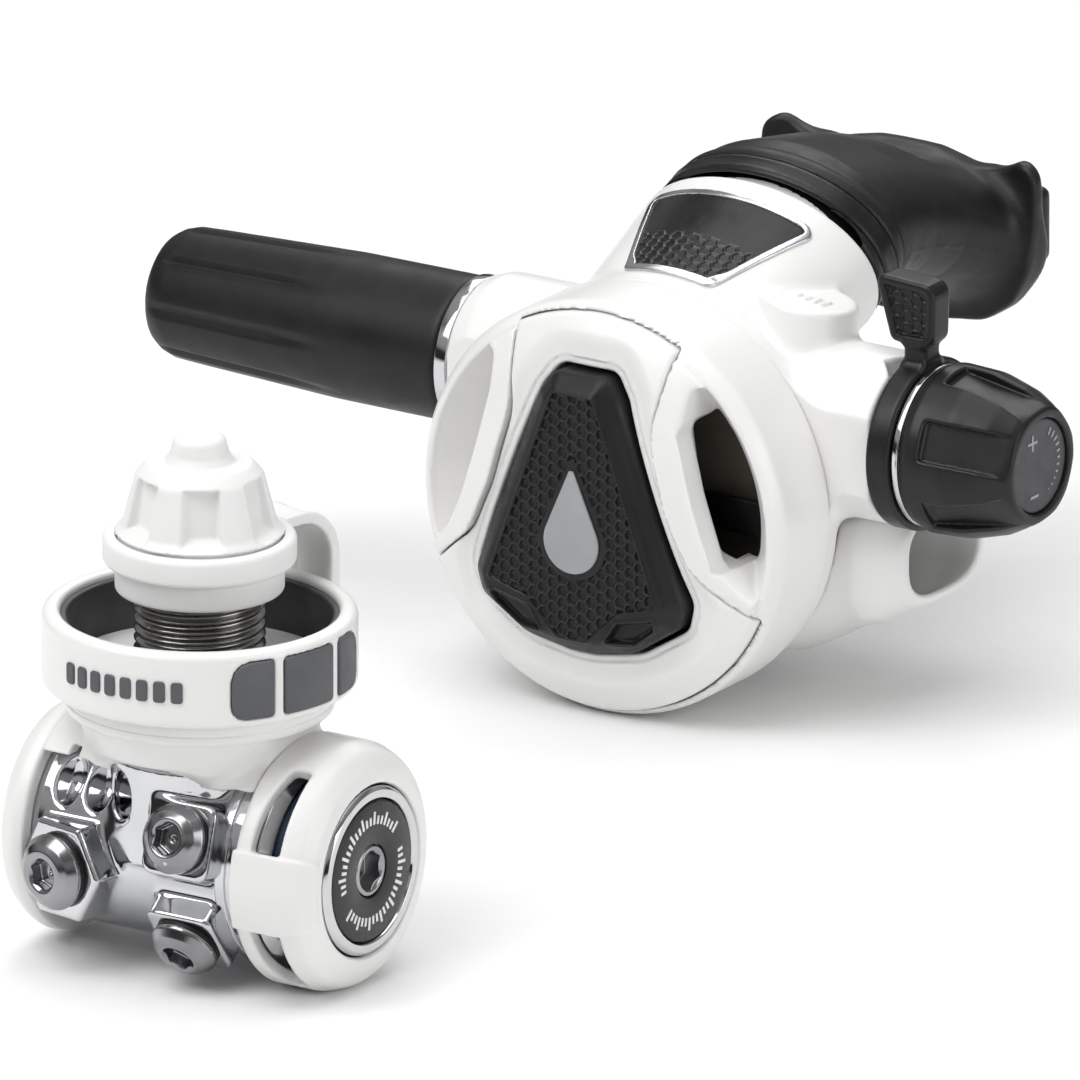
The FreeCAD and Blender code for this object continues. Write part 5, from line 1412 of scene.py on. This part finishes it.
def trail(u, v, points):
    """Distance from an open line."""
    nearest = np.full(np.broadcast(u, v).shape, 1e9)
    for (au, av), (bu, bv) in zip(points, points[1:]):
        du, dv = bu - au, bv - av
        t = np.clip(((u - au) * du + (v - av) * dv) / (du * du + dv * dv), 0, 1)
        nearest = np.minimum(nearest, (u - au - t * du) ** 2 + (v - av - t * dv) ** 2)
    return np.sqrt(nearest)


def tether():
    """Ribbed strap that arches from the cap's ring down to the collar."""
    a = math.radians(TETHER_ANGLE)
    u0, z0 = TETHER_REACH - TETHER_BEND, 54.1 - TETHER_BEND
    turns = np.radians(range(0, 91, 10))
    bend = [(u0 + TETHER_BEND * math.sin(t), z0 + TETHER_BEND * math.cos(t)) for t in turns]
    line = [(15.6, 54.1)] + bend + [(TETHER_REACH, 26.4), (28.5, 25.8), (23.0, 25.7)]

    def field(x, y, z):
        u, v = x * math.cos(a) + y * math.sin(a), y * math.cos(a) - x * math.sin(a)
        rib = smooth((np.abs(v) - 3.5) / 0.5)
        strap = meet(trail(u, z, line) - 0.72 - 0.36 * rib, np.abs(v) - TETHER_WIDTH / 2, 0.5)
        across = np.hypot(x, y)
        strap = np.maximum(strap, np.where(z > 44, 16.78 - across, -9))
        return np.maximum(strap, np.where(z < 28.6, 23.26 - across, -9))
    part = contour(field, (-3.5, 13.0, 24.4), (11.5, 31.5, 55.4), 0.36)
    ob = piece("cap_strap", part, FIRST, None, "soft_white", ["cap_tether"])
    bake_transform(ob)


first_stage_body()
chamber()
end_cap()
end_disc()
adjuster()
right_bumper()
chamber_band()
left_bumper()
shroud()
collar()
plugs_and_washers()
handwheel()
grip_pads()
rim_ribs()
wheel_liner()
thread()
dust_cap()
tether_ring()
tether()


# ---- studio ----
def studio():
    """Pale floor, soft bright surroundings with a darker horizon, and plain picture colours."""
    size = 3.0
    mesh = bpy.data.meshes.new("studio_floor")
    mesh.from_pydata(
        [(-size, -size, 0), (size, -size, 0), (size, size, 0), (-size, size, 0)], [], [(0, 1, 2, 3)]
    )
    floor = bpy.data.objects.new("studio_floor", mesh)
    bpy.context.scene.collection.objects.link(floor)
    pale = finish("studio_floor", (0.93, 0.93, 0.93), (0.92, 0.92, 0.92), (0.7, 0.8), 60, 1e-5)
    mesh.materials.append(pale)
    world = bpy.data.worlds.new("studio")
    world.use_nodes = True
    nodes, links = world.node_tree.nodes, world.node_tree.links
    where = nodes.new("ShaderNodeTexCoord")
    split = nodes.new("ShaderNodeSeparateXYZ")
    ramp = nodes.new("ShaderNodeValToRGB")
    links.new(where.outputs["Generated"], split.inputs["Vector"])
    links.new(split.outputs["Z"], ramp.inputs["Fac"])
    links.new(ramp.outputs["Color"], nodes["Background"].inputs["Color"])
    bands = ((0.0, 0.06), (0.16, 0.10), (0.26, 0.85), (0.48, 1.0), (0.60, 0.35), (0.78, 0.95), (1.0, 1.0))
    elements = ramp.color_ramp.elements
    while len(elements) < len(bands):
        elements.new(0.5)
    for element, (place, level) in zip(elements, bands):
        element.position = place
        element.color = (level, level, level, 1)
    nodes["Background"].inputs["Strength"].default_value = 0.42
    bpy.context.scene.world = world
    bpy.context.scene.view_settings.view_transform = "Standard"


def lamp(name, azimuth, elevation, distance, size, power):
    """A square soft light that faces the object."""
    data = bpy.data.lights.new(name, "AREA")
    data.shape = "SQUARE"
    data.size = size
    data.energy = power
    ob = bpy.data.objects.new(name, data)
    a, e = math.radians(azimuth), math.radians(elevation)
    out = Vector((math.sin(a) * math.cos(e), -math.cos(a) * math.cos(e), math.sin(e)))
    ob.location = out * distance + Vector((0, 0, 0.04))
    ob.rotation_euler = out.to_track_quat("Z", "Y").to_euler()
    bpy.context.scene.collection.objects.link(ob)


def camera():
    """The photograph's viewing angle, from far away, as with a long lens."""
    azimuth, elevation, distance = math.radians(33.04), math.radians(18.41), 20.0
    out = Vector((
        math.sin(azimuth) * math.cos(elevation),
        -math.cos(azimuth) * math.cos(elevation),
        math.sin(elevation),
    ))
    target, width = Vector((18.94, 10.32, 37.86)) * MM, 0.18617      # width seen at the target
    data = bpy.data.cameras.new("camera")
    data.sensor_width = 36
    data.lens = data.sensor_width * distance / width
    ob = bpy.data.objects.new("camera", data)
    ob.location = target + out * distance
    ob.rotation_euler = out.to_track_quat("Z", "Y").to_euler()
    bpy.context.scene.collection.objects.link(ob)
    bpy.context.scene.camera = ob


studio()
lamp("key", -20, 50, 0.9, 0.6, 4.6)
lamp("fill", 85, 16, 1.0, 0.6, 2.6)
lamp("top", 20, 88, 0.9, 0.8, 3.9)
lamp("back", 200, 45, 1.0, 0.6, 2.6)
camera()
